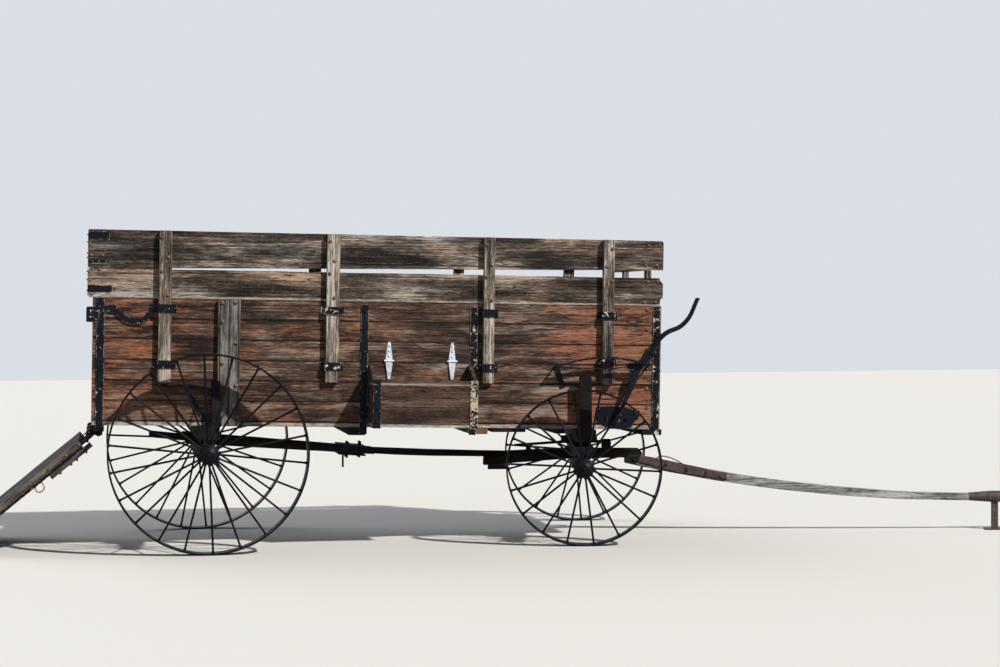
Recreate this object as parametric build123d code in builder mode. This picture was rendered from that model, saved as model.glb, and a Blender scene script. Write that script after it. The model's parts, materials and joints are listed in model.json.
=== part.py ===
from build123d import *
from math import asin, atan, cos, degrees, hypot, radians, sin, tan
import os

os.makedirs("parts", exist_ok=True)

# Millimetres. X runs forward along the wagon from the rear axle, Y to its left, Z up from the floor.
# The box is drawn level and then tipped nose down; the front gear and the tongue are drawn straight
# ahead and then turned about the king pin.

# Wheels and track
REAR_WHEEL = 1118.0
FRONT_WHEEL = 890.0
TRACK = 1560.0
TYRE_WIDTH = 100.0
TYRE = 10.0
SPOKE = 12.0
REAR_SPOKES = 22
FRONT_SPOKES = 18
WHEELBASE = 2257.0

# How it stands
BOX_PITCH = 1.3
STEER = -9.5
BOLSTER_SKEW = -8.0

# Box
BOX_LENGTH = 3264.0
BOX_WIDTH = 1140.0
BOX_OVER_AXLE = 146.0
REAR_OVERHANG = 647.0
PLANK = 22.0
PLANK_HEIGHT = 115.0
PLANK_ROWS = 6
SILL_STRIP = 28.0
SEAM = 0.8
FLOOR_BOARDS = 8

# Rack boards above the box
RACK_LOWER = 161.0
RACK_UPPER = 170.0
RACK_GAP = 47.0
RACK_OVERHANG = 27.0
RACK_FRONT_OVERHANG = 7.0

# Stakes, irons and fits
STAKE = 40.0
STRAP_WIDTH = 42.0
STRAP = 6.0
SEAT = 0.3
RUNNING = 6.0

# Running gear
AXLE_WIDTH = 100.0
SPINDLE = 44.0
REACH_WIDTH = 60.0
FRONT_BEAM_WIDTH = 120.0
REACH_HEIGHT = 38.0
REACH_SAG = 34.0
KING_PIN = 26.0

# Tongue
TONGUE_LENGTH = 2850.0
TONGUE_REAR = 62.0
TONGUE_FRONT = 43.0
TONGUE_PIN_FORWARD = 335.0

# Tailgate
TAILGATE_LENGTH = 1020.0
TAILGATE_RAIL = 45.0
TAILGATE_CLEARANCE = 8.0

# Side box
SIDE_BOX_REAR = 911.0
SIDE_BOX_WIDTH = 593.0
SIDE_BOX_DEPTH = 234.0
SIDE_BOX_FRONT_HEIGHT = 264.0
SIDE_BOX_BACK_HEIGHT = 351.0
SIDE_BOX_LIFT = 12.0

# Worked-out places
rear_radius = REAR_WHEEL / 2
front_radius = FRONT_WHEEL / 2
box_bottom = rear_radius + BOX_OVER_AXLE
box_rear = -REAR_OVERHANG
box_front = box_rear + BOX_LENGTH
box_half = BOX_WIDTH / 2
inner_half = box_half - PLANK
plank_top = box_bottom + SILL_STRIP + PLANK_ROWS * PLANK_HEIGHT
rack_bottom = plank_top + SEAM
rack_top = rack_bottom + RACK_LOWER + RACK_GAP + RACK_UPPER
stake_face = box_half + STAKE

box_frame = Pos(0, 0, rear_radius) * Rot(0, BOX_PITCH, 0) * Pos(0, 0, -rear_radius)
level_frame = Pos(0, 0, 0)
gear_frame = Pos(WHEELBASE, 0, 0) * Rot(0, 0, STEER)
skew_frame = Pos(WHEELBASE, 0, 0) * Rot(0, 0, BOLSTER_SKEW)

nodes = []


def keep(label, builder, frame):
    piece = builder.part.moved(frame)
    piece.label = label
    nodes.append(piece)


def block(x0, x1, y0, y1, z0, z1, mode=Mode.ADD):
    """A squared timber or flat bar between two corners."""
    with Locations(((x0 + x1) / 2, (y0 + y1) / 2, (z0 + z1) / 2)):
        Box(abs(x1 - x0), abs(y1 - y0), abs(z1 - z0), mode=mode)


def box_height_at(x):
    """Height over the floor of the box's underside at x, after the box is tipped."""
    return rear_radius + (box_bottom - rear_radius) * cos(radians(BOX_PITCH)) - x * sin(radians(BOX_PITCH))


# Sides: a narrow bottom strip and six planks on each side, with open seams
plank_rows = [(box_bottom, SILL_STRIP)]
for row in range(PLANK_ROWS):
    plank_rows.append((box_bottom + SILL_STRIP + row * PLANK_HEIGHT, PLANK_HEIGHT))

for label, side in (("box_side_right", -1), ("box_side_left", 1)):
    with BuildPart() as box_side:
        for bottom, height in plank_rows:
            block(box_rear, box_front, side * inner_half, side * box_half, bottom, bottom + height - SEAM)
    keep(label, box_side, box_frame)

# Floor boards run lengthwise between the sides, from the tailgate to the front end planks
GATE_GAP = 6.0
END_INSET = 40.0
end_face = box_front - END_INSET
floor_top = box_bottom + PLANK
floor_pitch = (2 * inner_half - SEAM) / FLOOR_BOARDS
with BuildPart() as floor_boards:
    for board in range(FLOOR_BOARDS):
        low = -inner_half + SEAM + board * floor_pitch
        block(box_rear + GATE_GAP, end_face - PLANK - SEAT, low, low + floor_pitch - SEAM, box_bottom, floor_top)
keep("floor_boards", floor_boards, box_frame)

# Cross sills under the floor: centre x, width along x, depth
SILL_DEPTH = 40.0
rear_sill_centre = box_rear + 41.0
front_sill_centre = box_front - 46.0
cross_sill_rows = (
    (rear_sill_centre, 60.0, 36.0),
    (847.0, 95.0, SILL_DEPTH + 6.0),
    (1551.0, 103.0, SILL_DEPTH - 5.0),
    (1725.0, 200.0, 22.0),
    (2026.0, 60.0, 28.0),
    (front_sill_centre, 118.0, SILL_DEPTH - 7.0),
)
with BuildPart() as cross_sills:
    for centre, width, depth in cross_sill_rows:
        block(centre - width / 2, centre + width / 2, -box_half, box_half,
              box_bottom - SEAT - depth, box_bottom - SEAT)
keep("cross_sills", cross_sills, box_frame)

# Front end: cross planks like those of the sides, behind two posts
END_POST = 45.0
END_POST_AT = 300.0
with BuildPart() as front_end_planks:
    for row in range(PLANK_ROWS):
        bottom = box_bottom + SILL_STRIP + row * PLANK_HEIGHT
        block(end_face - PLANK, end_face, -inner_half + SEAM, inner_half - SEAM,
              bottom, bottom + PLANK_HEIGHT - SEAM)
    block(end_face - PLANK, end_face, -inner_half + SEAM, inner_half - SEAM,
          box_bottom, box_bottom + SILL_STRIP - SEAM)
keep("front_end_planks", front_end_planks, box_frame)

with BuildPart() as front_end_posts:
    for across in (-END_POST_AT, END_POST_AT):
        block(end_face + SEAT, end_face + SEAT + 35.0, across - END_POST / 2, across + END_POST / 2,
              box_bottom, rack_top - 60.0)
keep("front_end_posts", front_end_posts, box_frame)

with BuildPart() as front_rack_boards:
    for bottom, height in ((rack_bottom, RACK_LOWER), (rack_bottom + RACK_LOWER + RACK_GAP, RACK_UPPER)):
        block(end_face - PLANK, end_face, -inner_half + SEAM, inner_half - SEAM, bottom, bottom + height)
keep("front_rack_boards", front_rack_boards, box_frame)

# Rack boards: the gap between them narrows towards the first stake and is shut behind it
rack_rear = box_rear - RACK_OVERHANG
rack_front = box_front + RACK_FRONT_OVERHANG
FIRST_STAKE = -247.0
GAP_AT_STAKE = 7.5
gap_low = rack_bottom + RACK_LOWER
for label, side in (("rack_boards_right", -1), ("rack_boards_left", 1)):
    with BuildPart() as rack_boards:
        block(rack_rear, rack_front, side * inner_half, side * box_half, rack_bottom, gap_low)
        with BuildSketch(Plane.XZ.offset(-side * inner_half)):
            with BuildLine():
                Polyline((rack_rear, gap_low + SEAM), (FIRST_STAKE, gap_low + SEAM),
                         (FIRST_STAKE, gap_low + GAP_AT_STAKE), (rack_front, gap_low + RACK_GAP),
                         (rack_front, rack_top), (rack_rear, rack_top), close=True)
            make_face()
        extrude(amount=-side * PLANK)
    keep(label, rack_boards, box_frame)

# Side stakes: centre x and width, then the heights over the box's underside of the lower end
# and of the two staples that hold each one
STAPLE_HEIGHT = 45.0
STAPLE_TAB = 22.0
stake_rows = (
    (FIRST_STAKE, 72.0, 245.0, 661.0, 346.0),
    (697.0, 75.0, 253.0, 661.0, 346.0),
    (1594.0, 63.0, 257.0, 661.0, 347.0),
    (2294.0, 64.0, 253.0, 656.0, 398.0),
)
for label, side in (("side_stakes_right", -1), ("side_stakes_left", 1)):
    with BuildPart() as side_stakes:
        for centre, width, bottom, upper, lower in stake_rows:
            block(centre - width / 2, centre + width / 2,
                  side * (box_half + SEAT), side * stake_face, box_bottom + bottom, rack_top)
    keep(label, side_stakes, box_frame)

for label, side in (("stake_staples_right", -1), ("stake_staples_left", 1)):
    with BuildPart() as stake_staples:
        for centre, width, bottom, upper, lower in stake_rows:
            for height in (upper, lower):
                with BuildSketch(Plane.XY.offset(box_bottom + height - STAPLE_HEIGHT / 2)):
                    outer = width + 2 * STRAP + 2 * SEAT
                    standing = STAKE + STRAP
                    with Locations((centre, side * (box_half + SEAT + standing / 2))):
                        Rectangle(outer, standing)
                    with Locations((centre, side * (box_half + STAKE / 2 + SEAT))):
                        Rectangle(width + 2 * SEAT, STAKE, mode=Mode.SUBTRACT)
                    for end in (-1, 1):
                        tab_centre = centre + end * (outer + STAPLE_TAB - STRAP) / 2
                        with Locations((tab_centre, side * (box_half + SEAT + STRAP / 2))):
                            Rectangle(STAPLE_TAB + STRAP, STRAP)
                extrude(amount=STAPLE_HEIGHT)
    keep(label, stake_staples, box_frame)

# Upright irons on each side: centre x, lower end, upper end
iron_rows = (
    (box_rear + 44.0, box_bottom - 10.0, plank_top - SEAM),
    (882.0, box_bottom - SILL_DEPTH, plank_top - 20.0),
    (1512.0, box_bottom - SILL_DEPTH, plank_top - 24.0),
    (box_front - 27.0, box_bottom - SILL_DEPTH + 8.0, plank_top - SEAM),
)
# Slanting strap by the rear bolster: x and height over the box's underside
SLANT_WIDTH = 28.0
slant_rows = ((-127.0, 224.0), (-62.0, 108.0), (-6.0, 30.0), (0.0, 8.0))
for label, side in (("side_irons_right", -1), ("side_irons_left", 1)):
    with BuildPart() as side_irons:
        for centre, bottom, top in iron_rows:
            block(centre - STRAP_WIDTH / 2, centre + STRAP_WIDTH / 2,
                  side * (box_half + SEAT), side * (box_half + SEAT + STRAP), bottom, top)
        with BuildSketch(Plane.XZ.offset(-side * (box_half + SEAT))):
            with BuildLine():
                Polyline([(across, box_bottom + over) for across, over in slant_rows])
            trace(line_width=SLANT_WIDTH)
        extrude(amount=-side * STRAP)
    keep(label, side_irons, box_frame)

# Plank cleats over the rear bolster
CLEAT_AT = 112.0
CLEAT_WIDTH = 124.0
CLEAT = 30.0
with BuildPart() as rear_cleats:
    for side in (-1, 1):
        block(CLEAT_AT - CLEAT_WIDTH / 2, CLEAT_AT + CLEAT_WIDTH / 2,
              side * (box_half + SEAT), side * (box_half + CLEAT), box_bottom + 2.0, plank_top - 4.0)
keep("rear_cleats", rear_cleats, box_frame)

# Latch lugs behind the box ends, each with the curved bar that runs forward to the first stake
LUG_HOLE = 14.0
LUG_HOLE_IN = 21.0
lug_rear = box_rear - 35.0
lug_front = box_rear + 36.0
LUG_LOW = 577.0
LUG_HIGH = 663.0
lug_holes = (640.0, 603.0)
LATCH_BAR_WIDTH = 32.0
latch_in = box_half + STRAP + 2 * SEAT
# Middle line of the bar: x ahead of the box's rear end, height over its underside
latch_rows = ((30.0, 640.0), (107.0, 653.0), (147.0, 630.0), (182.0, 597.0), (232.0, 582.0),
              (282.0, 595.0), (317.0, 631.0), (341.0, 683.0))
for label, side in (("latch_bar_right", -1), ("latch_bar_left", 1)):
    with BuildPart() as latch_bar:
        with BuildSketch(Plane.XZ.offset(-side * latch_in)):
            with BuildLine():
                Spline([(box_rear + ahead, box_bottom + over) for ahead, over in latch_rows])
            trace(line_width=LATCH_BAR_WIDTH)
            with Locations(((lug_rear + lug_front) / 2, box_bottom + (LUG_LOW + LUG_HIGH) / 2)):
                RectangleRounded(lug_front - lug_rear, LUG_HIGH - LUG_LOW, 8.0)
            with Locations((box_rear + 107.0, box_bottom + 653.0)):
                Ellipse(29.0, 22.0)
            for height in lug_holes:
                with Locations((lug_rear + LUG_HOLE_IN, box_bottom + height)):
                    Circle(LUG_HOLE / 2, mode=Mode.SUBTRACT)
        extrude(amount=-side * STRAP)
    keep(label, latch_bar, box_frame)

# Side box on the right: front, ends and bottom, with the lid gone
side_box_front = SIDE_BOX_REAR + SIDE_BOX_WIDTH
box_face = -(box_half + SEAT + STRAP + SEAT)
side_box_out = box_face - SIDE_BOX_DEPTH
side_box_bottom = box_bottom + SIDE_BOX_LIFT
SIDE_BOARD = 20.0
with BuildPart() as side_box:
    block(SIDE_BOX_REAR, side_box_front, side_box_out, side_box_out + SIDE_BOARD,
          side_box_bottom + SIDE_BOARD + SEAM, side_box_bottom + SIDE_BOX_FRONT_HEIGHT)
    block(SIDE_BOX_REAR, side_box_front, side_box_out, box_face, side_box_bottom, side_box_bottom + SIDE_BOARD)
    for end in (SIDE_BOX_REAR, side_box_front - SIDE_BOARD):
        with BuildSketch(Plane.YZ.offset(end)):
            with BuildLine():
                Polyline((side_box_out + SIDE_BOARD, side_box_bottom + SIDE_BOARD),
                         (box_face, side_box_bottom + SIDE_BOARD),
                         (box_face, side_box_bottom + SIDE_BOX_BACK_HEIGHT),
                         (side_box_out + SIDE_BOARD, side_box_bottom + SIDE_BOX_FRONT_HEIGHT), close=True)
            make_face()
        extrude(amount=SIDE_BOARD)
keep("side_box", side_box, box_frame)

# Bent irons that carry the side box: up its front corners, under it, and up the wagon side behind it
BRACKET_LEG = 24.0
bracket_top = side_box_bottom - SEAT
with BuildPart() as side_box_irons:
    for corner, inward in ((SIDE_BOX_REAR, 1), (side_box_front, -1)):
        far_edge = corner + inward * STRAP_WIDTH
        block(corner, far_edge, side_box_out - SEAT - STRAP, side_box_out - SEAT,
              bracket_top - STRAP, side_box_bottom + SIDE_BOX_FRONT_HEIGHT + 2.0)
        block(corner, far_edge, side_box_out - SEAT - STRAP, box_face, bracket_top - STRAP, bracket_top)
        block(far_edge, far_edge - inward * BRACKET_LEG, box_face, -box_half - SEAT,
              bracket_top - STRAP, bracket_top + 110.0)
keep("side_box_irons", side_box_irons, box_frame)

# Strap hinges left from the missing lid: upper leaf on the side, knuckle, and the leaf that hangs
LEAF = 3.0
LEAF_TOP = 108.0
LEAF_HANG = 104.0
KNUCKLE = 14.0
KNUCKLE_LENGTH = 56.0
knuckle_height = box_bottom + 380.0
knuckle_out = box_half + SEAT + KNUCKLE / 2
with BuildPart() as lid_hinges:
    for centre in (1025.0, 1389.0):
        for way, length in ((1, LEAF_TOP), (-1, LEAF_HANG)):
            with BuildSketch(Plane.XZ.offset(knuckle_out - KNUCKLE / 2 if way > 0 else knuckle_out)):
                with BuildLine():
                    Polyline((centre - KNUCKLE_LENGTH / 3, knuckle_height),
                             (centre + KNUCKLE_LENGTH / 3, knuckle_height),
                             (centre + KNUCKLE_LENGTH / 3, knuckle_height + way * 22.0),
                             (centre + 7.0, knuckle_height + way * length),
                             (centre - 7.0, knuckle_height + way * length),
                             (centre - KNUCKLE_LENGTH / 3, knuckle_height + way * 22.0), close=True)
                make_face()
            extrude(amount=LEAF)
        with BuildSketch(Plane.YZ.offset(centre - KNUCKLE_LENGTH / 2)):
            with Locations((-knuckle_out, knuckle_height)):
                Circle(KNUCKLE / 2)
        extrude(amount=KNUCKLE_LENGTH)
keep("lid_hinges", lid_hinges, box_frame)

# Reach: the long pole that ties the rear axle to the king pin
REACH_REAR = -313.0
reach_rear_height = rear_radius + 77.0
reach_front_height = front_radius + 29.0
reach_front = WHEELBASE - FRONT_BEAM_WIDTH / 2 - 20.0
reach_middle = (REACH_REAR + reach_front) / 2
reach_middle_height = (reach_rear_height + reach_front_height) / 2 - REACH_SAG


def reach_height(x):
    """Centre height of the sagging reach at x."""
    span = (x - REACH_REAR) / (reach_front - REACH_REAR)
    chord = reach_rear_height + span * (reach_front_height - reach_rear_height)
    return chord - 4 * REACH_SAG * span * (1 - span)


half_reach = REACH_HEIGHT / 2
with BuildPart() as reach:
    with BuildSketch(Plane.XZ):
        with BuildLine():
            ThreePointArc((REACH_REAR, reach_rear_height - half_reach),
                          (reach_middle, reach_middle_height - half_reach),
                          (reach_front, reach_front_height - half_reach))
            Line((reach_front, reach_front_height - half_reach), (reach_front, reach_front_height + half_reach))
            ThreePointArc((reach_front, reach_front_height + half_reach),
                          (reach_middle, reach_middle_height + half_reach),
                          (REACH_REAR, reach_rear_height + half_reach))
            Line((REACH_REAR, reach_rear_height + half_reach), (REACH_REAR, reach_rear_height - half_reach))
        make_face()
    extrude(amount=REACH_WIDTH / 2, both=True)
keep("reach", reach, level_frame)

# Rear hounds spread from the reach back to the axle
HOUND = 44.0
HOUND_FRONT = 1000.0
HOUND_REAR = -110.0
HOUND_SPREAD = 300.0
hound_close = REACH_WIDTH / 2 + HOUND / 2 + 8.0
with BuildPart() as rear_hounds:
    for side in (-1, 1):
        run = hypot(HOUND_FRONT - HOUND_REAR, HOUND_SPREAD - hound_close)
        hound_plane = Plane(origin=(HOUND_FRONT, side * hound_close, 0),
                            x_dir=(HOUND_REAR - HOUND_FRONT, side * (HOUND_SPREAD - hound_close), 0),
                            z_dir=(side * (HOUND_SPREAD - hound_close), HOUND_FRONT - HOUND_REAR, 0))
        with BuildSketch(hound_plane):
            with BuildLine():
                Polyline((0, reach_height(HOUND_FRONT) - half_reach), (0, reach_height(HOUND_FRONT) + half_reach),
                         (run, reach_height(HOUND_REAR) + half_reach),
                         (run, reach_height(HOUND_REAR) - half_reach), close=True)
            make_face()
        extrude(amount=HOUND / 2, both=True)
keep("rear_hounds", rear_hounds, level_frame)

# The reach and the hounds pass between the rear axle and its bolster
hound_slope = (reach_height(HOUND_FRONT) - reach_height(HOUND_REAR)) / (HOUND_FRONT - HOUND_REAR)
axle_edge = AXLE_WIDTH / 2
rear_bolster_bottom = reach_height(HOUND_REAR) + hound_slope * (-axle_edge - HOUND_REAR) + half_reach + 2 * SEAT
rear_axle_top = reach_height(axle_edge) - half_reach - 2 * SEAT

# Hound clip: two tapered plates bolted through the gaps between the reach and the hounds
CLIP_REAR = 788.0
CLIP_FRONT = 952.0
CLIP_PLATE = 8.0
CLIP_BOLT = 12.0
HANGING_ROD = 67.0
hound_splay = (HOUND_SPREAD - hound_close) / (HOUND_FRONT - HOUND_REAR)
clip_slope = degrees(atan(hound_slope))
clip_middle = (CLIP_REAR + CLIP_FRONT) / 2
clip_over = reach_height(HOUND_FRONT) + hound_slope * (clip_middle - HOUND_FRONT) + half_reach + 1.0
clip_under = reach_height(clip_middle) - half_reach - 3.0


def clip_half(x):
    """Half width of the clip plates at x, flush with the hounds."""
    return hound_close + HOUND / 2 + (HOUND_FRONT - x) * hound_splay


with BuildPart() as hound_clip:
    for foot in (clip_over, clip_under - CLIP_PLATE):
        clip_plane = Plane(origin=(clip_middle, 0, foot), x_dir=(1, 0, hound_slope), z_dir=(-hound_slope, 0, 1))
        with BuildSketch(clip_plane):
            with BuildLine():
                Polyline((CLIP_REAR - clip_middle, -clip_half(CLIP_REAR)),
                         (CLIP_FRONT - clip_middle, -clip_half(CLIP_FRONT)),
                         (CLIP_FRONT - clip_middle, clip_half(CLIP_FRONT)),
                         (CLIP_REAR - clip_middle, clip_half(CLIP_REAR)), close=True)
            make_face()
        extrude(amount=CLIP_PLATE)
    rod_across = -clip_half(CLIP_REAR) + HOUND + 14.0
    with Locations((CLIP_REAR + 30.0, rod_across, clip_under - CLIP_PLATE - HANGING_ROD / 2)):
        Cylinder(CLIP_BOLT / 2, HANGING_ROD + CLIP_PLATE)
    for x in (CLIP_REAR + 60.0, CLIP_FRONT - 30.0):
        beside = (REACH_WIDTH / 2 + clip_half(x) - HOUND) / 2
        with Locations((x, -beside, (clip_over + clip_under) / 2), (x, beside, (clip_over + clip_under) / 2)):
            Cylinder(CLIP_BOLT / 2, clip_over - clip_under + 2 * CLIP_PLATE + 36.0, rotation=(0, -clip_slope, 0))
keep("hound_clip", hound_clip, level_frame)

# Rear axle: a timber beam with a steel spindle at each end
spindle_out = TRACK / 2 + 118.0
SPINDLE_ROOT = 50.0
HUB_IN = 100.0
axle_half = TRACK / 2 - HUB_IN - 20.0
AXLE_END_FROM = 350.0


def add_spindles(height):
    """Steel spindles let into both ends of an axle beam."""
    root = axle_half - SPINDLE_ROOT
    for side in (-1, 1):
        with Locations((0, side * (spindle_out + root) / 2, height)):
            Cylinder(SPINDLE / 2, spindle_out - root, rotation=(90, 0, 0))


with BuildPart() as rear_axle:
    block(-AXLE_WIDTH / 2, AXLE_WIDTH / 2, -axle_half, axle_half, rear_radius - 48.0, rear_axle_top)
    for side in (-1, 1):
        block(-AXLE_WIDTH / 2, AXLE_WIDTH / 2, side * AXLE_END_FROM, side * axle_half,
              rear_radius - 48.0, rear_radius + 30.0)
    add_spindles(rear_radius)
keep("rear_axle", rear_axle, level_frame)

# Rear bolster with its two stakes
rear_bolster_top = box_height_at(AXLE_WIDTH / 2 + 20.0) - SEAT
BOLSTER_STAKE_WIDTH = 54.0
bolster_stake_in = box_half + CLEAT + 5.0
bolster_half = bolster_stake_in + 35.0
stake_top = box_bottom + 270.0
with BuildPart() as rear_bolster:
    block(-AXLE_WIDTH / 2, AXLE_WIDTH / 2 + 20.0, -bolster_half, bolster_half,
          rear_bolster_bottom, rear_bolster_top)
    for side in (-1, 1):
        block(50.0 - BOLSTER_STAKE_WIDTH / 2, 50.0 + BOLSTER_STAKE_WIDTH / 2, side * bolster_stake_in,
              side * bolster_half, rear_bolster_top, stake_top - 15.0)
keep("rear_bolster", rear_bolster, level_frame)

# Front bolster, sitting askew on the sand board, with a round-topped stake at each end
front_stake_in = stake_face + STRAP + 3.0
front_bolster_half = front_stake_in + 30.0
bolster_turn = abs(radians(BOLSTER_SKEW))
bolster_corner = front_bolster_half * sin(bolster_turn) + FRONT_BEAM_WIDTH / 2
front_bolster_top = box_height_at(WHEELBASE + bolster_corner) - SEAT
front_bolster_bottom = front_radius + 139.0
FRONT_STAKE_HALF = 36.0
STAKE_SHOULDER = 22.0
with BuildPart() as front_bolster:
    block(-FRONT_BEAM_WIDTH / 2, FRONT_BEAM_WIDTH / 2, -front_bolster_half, front_bolster_half,
          front_bolster_bottom, front_bolster_top)
    for side in (-1, 1):
        with BuildSketch(Plane.XZ.offset(-side * front_stake_in)):
            with BuildLine():
                Polyline((-FRONT_STAKE_HALF, stake_top - STAKE_SHOULDER), (-FRONT_STAKE_HALF, front_bolster_top),
                         (FRONT_STAKE_HALF, front_bolster_top), (FRONT_STAKE_HALF, stake_top - STAKE_SHOULDER))
                ThreePointArc((FRONT_STAKE_HALF, stake_top - STAKE_SHOULDER), (0, stake_top),
                              (-FRONT_STAKE_HALF, stake_top - STAKE_SHOULDER))
            make_face()
        extrude(amount=-side * (front_bolster_half - front_stake_in))
    with Locations((0, 0, (front_bolster_bottom + front_bolster_top) / 2)):
        Cylinder(KING_PIN / 2 + SEAT, 2 * (front_bolster_top - front_bolster_bottom), mode=Mode.SUBTRACT)
keep("front_bolster", front_bolster, skew_frame)

# The front hounds pass between the front axle and the sand board
FRONT_HOUND_REAR = -577.0
FRONT_HOUND_FRONT = 375.0
FRONT_HOUND_SPREAD = 262.0
FRONT_HOUND_CLOSE = 68.0
FRONT_HOUND = 46.0
FRONT_AXLE_WIDTH = 84.0
front_hound_bottom = front_radius + 11.5
front_hound_top = front_hound_bottom + FRONT_HOUND
front_axle_top = front_hound_bottom - SEAT
sand_board_bottom = front_hound_top + SEAT
sand_board_top = front_bolster_bottom - 28.5

# King pin with the iron strap that ties it to the reach
RUB_PLATE_RADIUS = 110.0
RING_RADIUS = 34.0
RING = 12.0
TAIL_END = 230.0
pin_bottom = front_radius - 60.0
ring_bottom = front_axle_top + SEAT
with BuildPart() as king_pin:
    with BuildSketch(Plane.XY.offset(pin_bottom)):
        Circle(KING_PIN / 2)
    extrude(amount=front_bolster_top - pin_bottom)
    with BuildSketch(Plane.XY.offset(ring_bottom)):
        Circle(RING_RADIUS)
        with Locations((-RING_RADIUS / 2, 0)):
            Rectangle(RING_RADIUS, 2 * RING_RADIUS - 18.0)
    extrude(amount=RING)
    with BuildSketch(Plane.XZ):
        with BuildLine():
            tail_low = reach_height(WHEELBASE - TAIL_END) + half_reach + SEAT
            tail_high = reach_height(reach_front) + half_reach + SEAT
            Polyline((-TAIL_END, tail_low), (reach_front - WHEELBASE, tail_high), (-RING_RADIUS + 8.0, ring_bottom),
                     (-RING_RADIUS + 8.0, ring_bottom + RING), (reach_front - WHEELBASE, tail_high + RING),
                     (-TAIL_END, tail_low + RING), close=True)
        make_face()
    extrude(amount=RING_RADIUS - 9.0, both=True)
keep("king_pin", king_pin, Pos(WHEELBASE, 0, 0))

# Front axle, sand board and hounds turn with the tongue
BEAM_END_FROM = 185.0
PLAY = 0.5
with BuildPart() as front_axle:
    block(-FRONT_AXLE_WIDTH / 2, FRONT_AXLE_WIDTH / 2, -axle_half, axle_half, front_radius - 45.0, front_axle_top)
    for side in (-1, 1):
        block(-FRONT_AXLE_WIDTH / 2, FRONT_AXLE_WIDTH / 2, side * BEAM_END_FROM, side * axle_half,
              front_radius - 45.0, front_radius + 28.0)
    add_spindles(front_radius)
    with Locations((0, 0, front_radius)):
        Cylinder(KING_PIN / 2 + SEAT, 200.0, mode=Mode.SUBTRACT)
keep("front_axle", front_axle, gear_frame)

with BuildPart() as sand_board:
    block(-FRONT_BEAM_WIDTH / 2, FRONT_BEAM_WIDTH / 2, -axle_half, axle_half, sand_board_bottom, sand_board_top)
    with BuildSketch(Plane.XY.offset(sand_board_top)):
        Circle(RUB_PLATE_RADIUS)
    extrude(amount=front_bolster_bottom - PLAY - sand_board_top)
    with Locations((0, 0, sand_board_top)):
        Cylinder(KING_PIN / 2 + SEAT, 200.0, mode=Mode.SUBTRACT)
keep("sand_board", sand_board, gear_frame)

HOUND_THICK = 36.0
HOUND_BEND = -66.0
HOUND_DROP = 28.0
hound_turn = atan((FRONT_HOUND_SPREAD - FRONT_HOUND_CLOSE) / (FRONT_HOUND_FRONT - FRONT_HOUND_REAR))


def hound_plane(side):
    """Upright plane along a front hound: x runs back from its front end, y is the height."""
    aside = side * (FRONT_HOUND_SPREAD - FRONT_HOUND_CLOSE)
    along = FRONT_HOUND_FRONT - FRONT_HOUND_REAR
    return Plane(origin=(FRONT_HOUND_FRONT, side * FRONT_HOUND_CLOSE, 0),
                 x_dir=(-along, aside, 0), z_dir=(aside, along, 0))


def back_along(u):
    """Distance back along a front hound at u ahead of the king pin."""
    return (FRONT_HOUND_FRONT - u) / cos(hound_turn)


NOSE = 20.0
with BuildPart() as front_hounds:
    for side in (-1, 1):
        with BuildSketch(hound_plane(side)):
            with BuildLine():
                Polyline((NOSE, front_hound_bottom), (0, front_hound_bottom + NOSE), (0, front_hound_top - NOSE),
                         (NOSE, front_hound_top), (back_along(HOUND_BEND), front_hound_top),
                         (back_along(FRONT_HOUND_REAR), front_hound_top - HOUND_DROP),
                         (back_along(FRONT_HOUND_REAR), front_hound_bottom - HOUND_DROP),
                         (back_along(HOUND_BEND), front_hound_bottom), close=True)
            make_face()
        extrude(amount=HOUND_THICK / 2, both=True)
keep("front_hounds", front_hounds, gear_frame)

# Sway bars: the slider under the reach, and over it an arched strap let into both faces of the sand
# board, with a post behind and a cross block on the hounds in front
SLIDER_REAR = -552.0
SLIDER_FRONT = -443.0
SLIDER = 26.0
SLIDER_HALF = 282.0
ARCH = 14.0
ARCH_WIDTH = 40.0
# Upper edge of the strap behind and before the sand board: u and height over the hounds
rear_arch_rows = ((-390.0, 33.5), (-112.0, 51.5), (-FRONT_BEAM_WIDTH / 2 - SEAT, 52.0))
front_arch_rows = ((FRONT_BEAM_WIDTH / 2 + SEAT, 52.0), (112.0, 52.0), (147.0, 60.0), (187.0, 60.0))
POST_FROM = -322.0
POST_TO = -290.0
POST_FOOT = 1.0
BLOCK_FROM = 140.0
BLOCK_TO = 187.0
BLOCK_HALF = 132.0
slider_top = front_hound_bottom - HOUND_DROP * (HOUND_BEND - SLIDER_REAR) / (HOUND_BEND - FRONT_HOUND_REAR) - SEAT
with BuildPart() as sway_bars:
    block(SLIDER_REAR, SLIDER_FRONT, -SLIDER_HALF, SLIDER_HALF, slider_top - SLIDER, slider_top)
    block(BLOCK_FROM, BLOCK_TO, -BLOCK_HALF, BLOCK_HALF, front_hound_top + SEAT, front_hound_top + 50.0)
    block(POST_FROM, POST_TO, -ARCH_WIDTH / 2, ARCH_WIDTH / 2, front_hound_top + POST_FOOT, front_hound_top + 30.0)
    for arch_rows in (rear_arch_rows, front_arch_rows):
        with BuildSketch(Plane.XZ):
            with BuildLine():
                Polyline([(u, front_hound_top + over) for u, over in arch_rows]
                         + [(u, front_hound_top + over - ARCH) for u, over in reversed(arch_rows)], close=True)
            make_face()
        extrude(amount=ARCH_WIDTH / 2, both=True)
keep("sway_bars", sway_bars, gear_frame)

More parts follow.
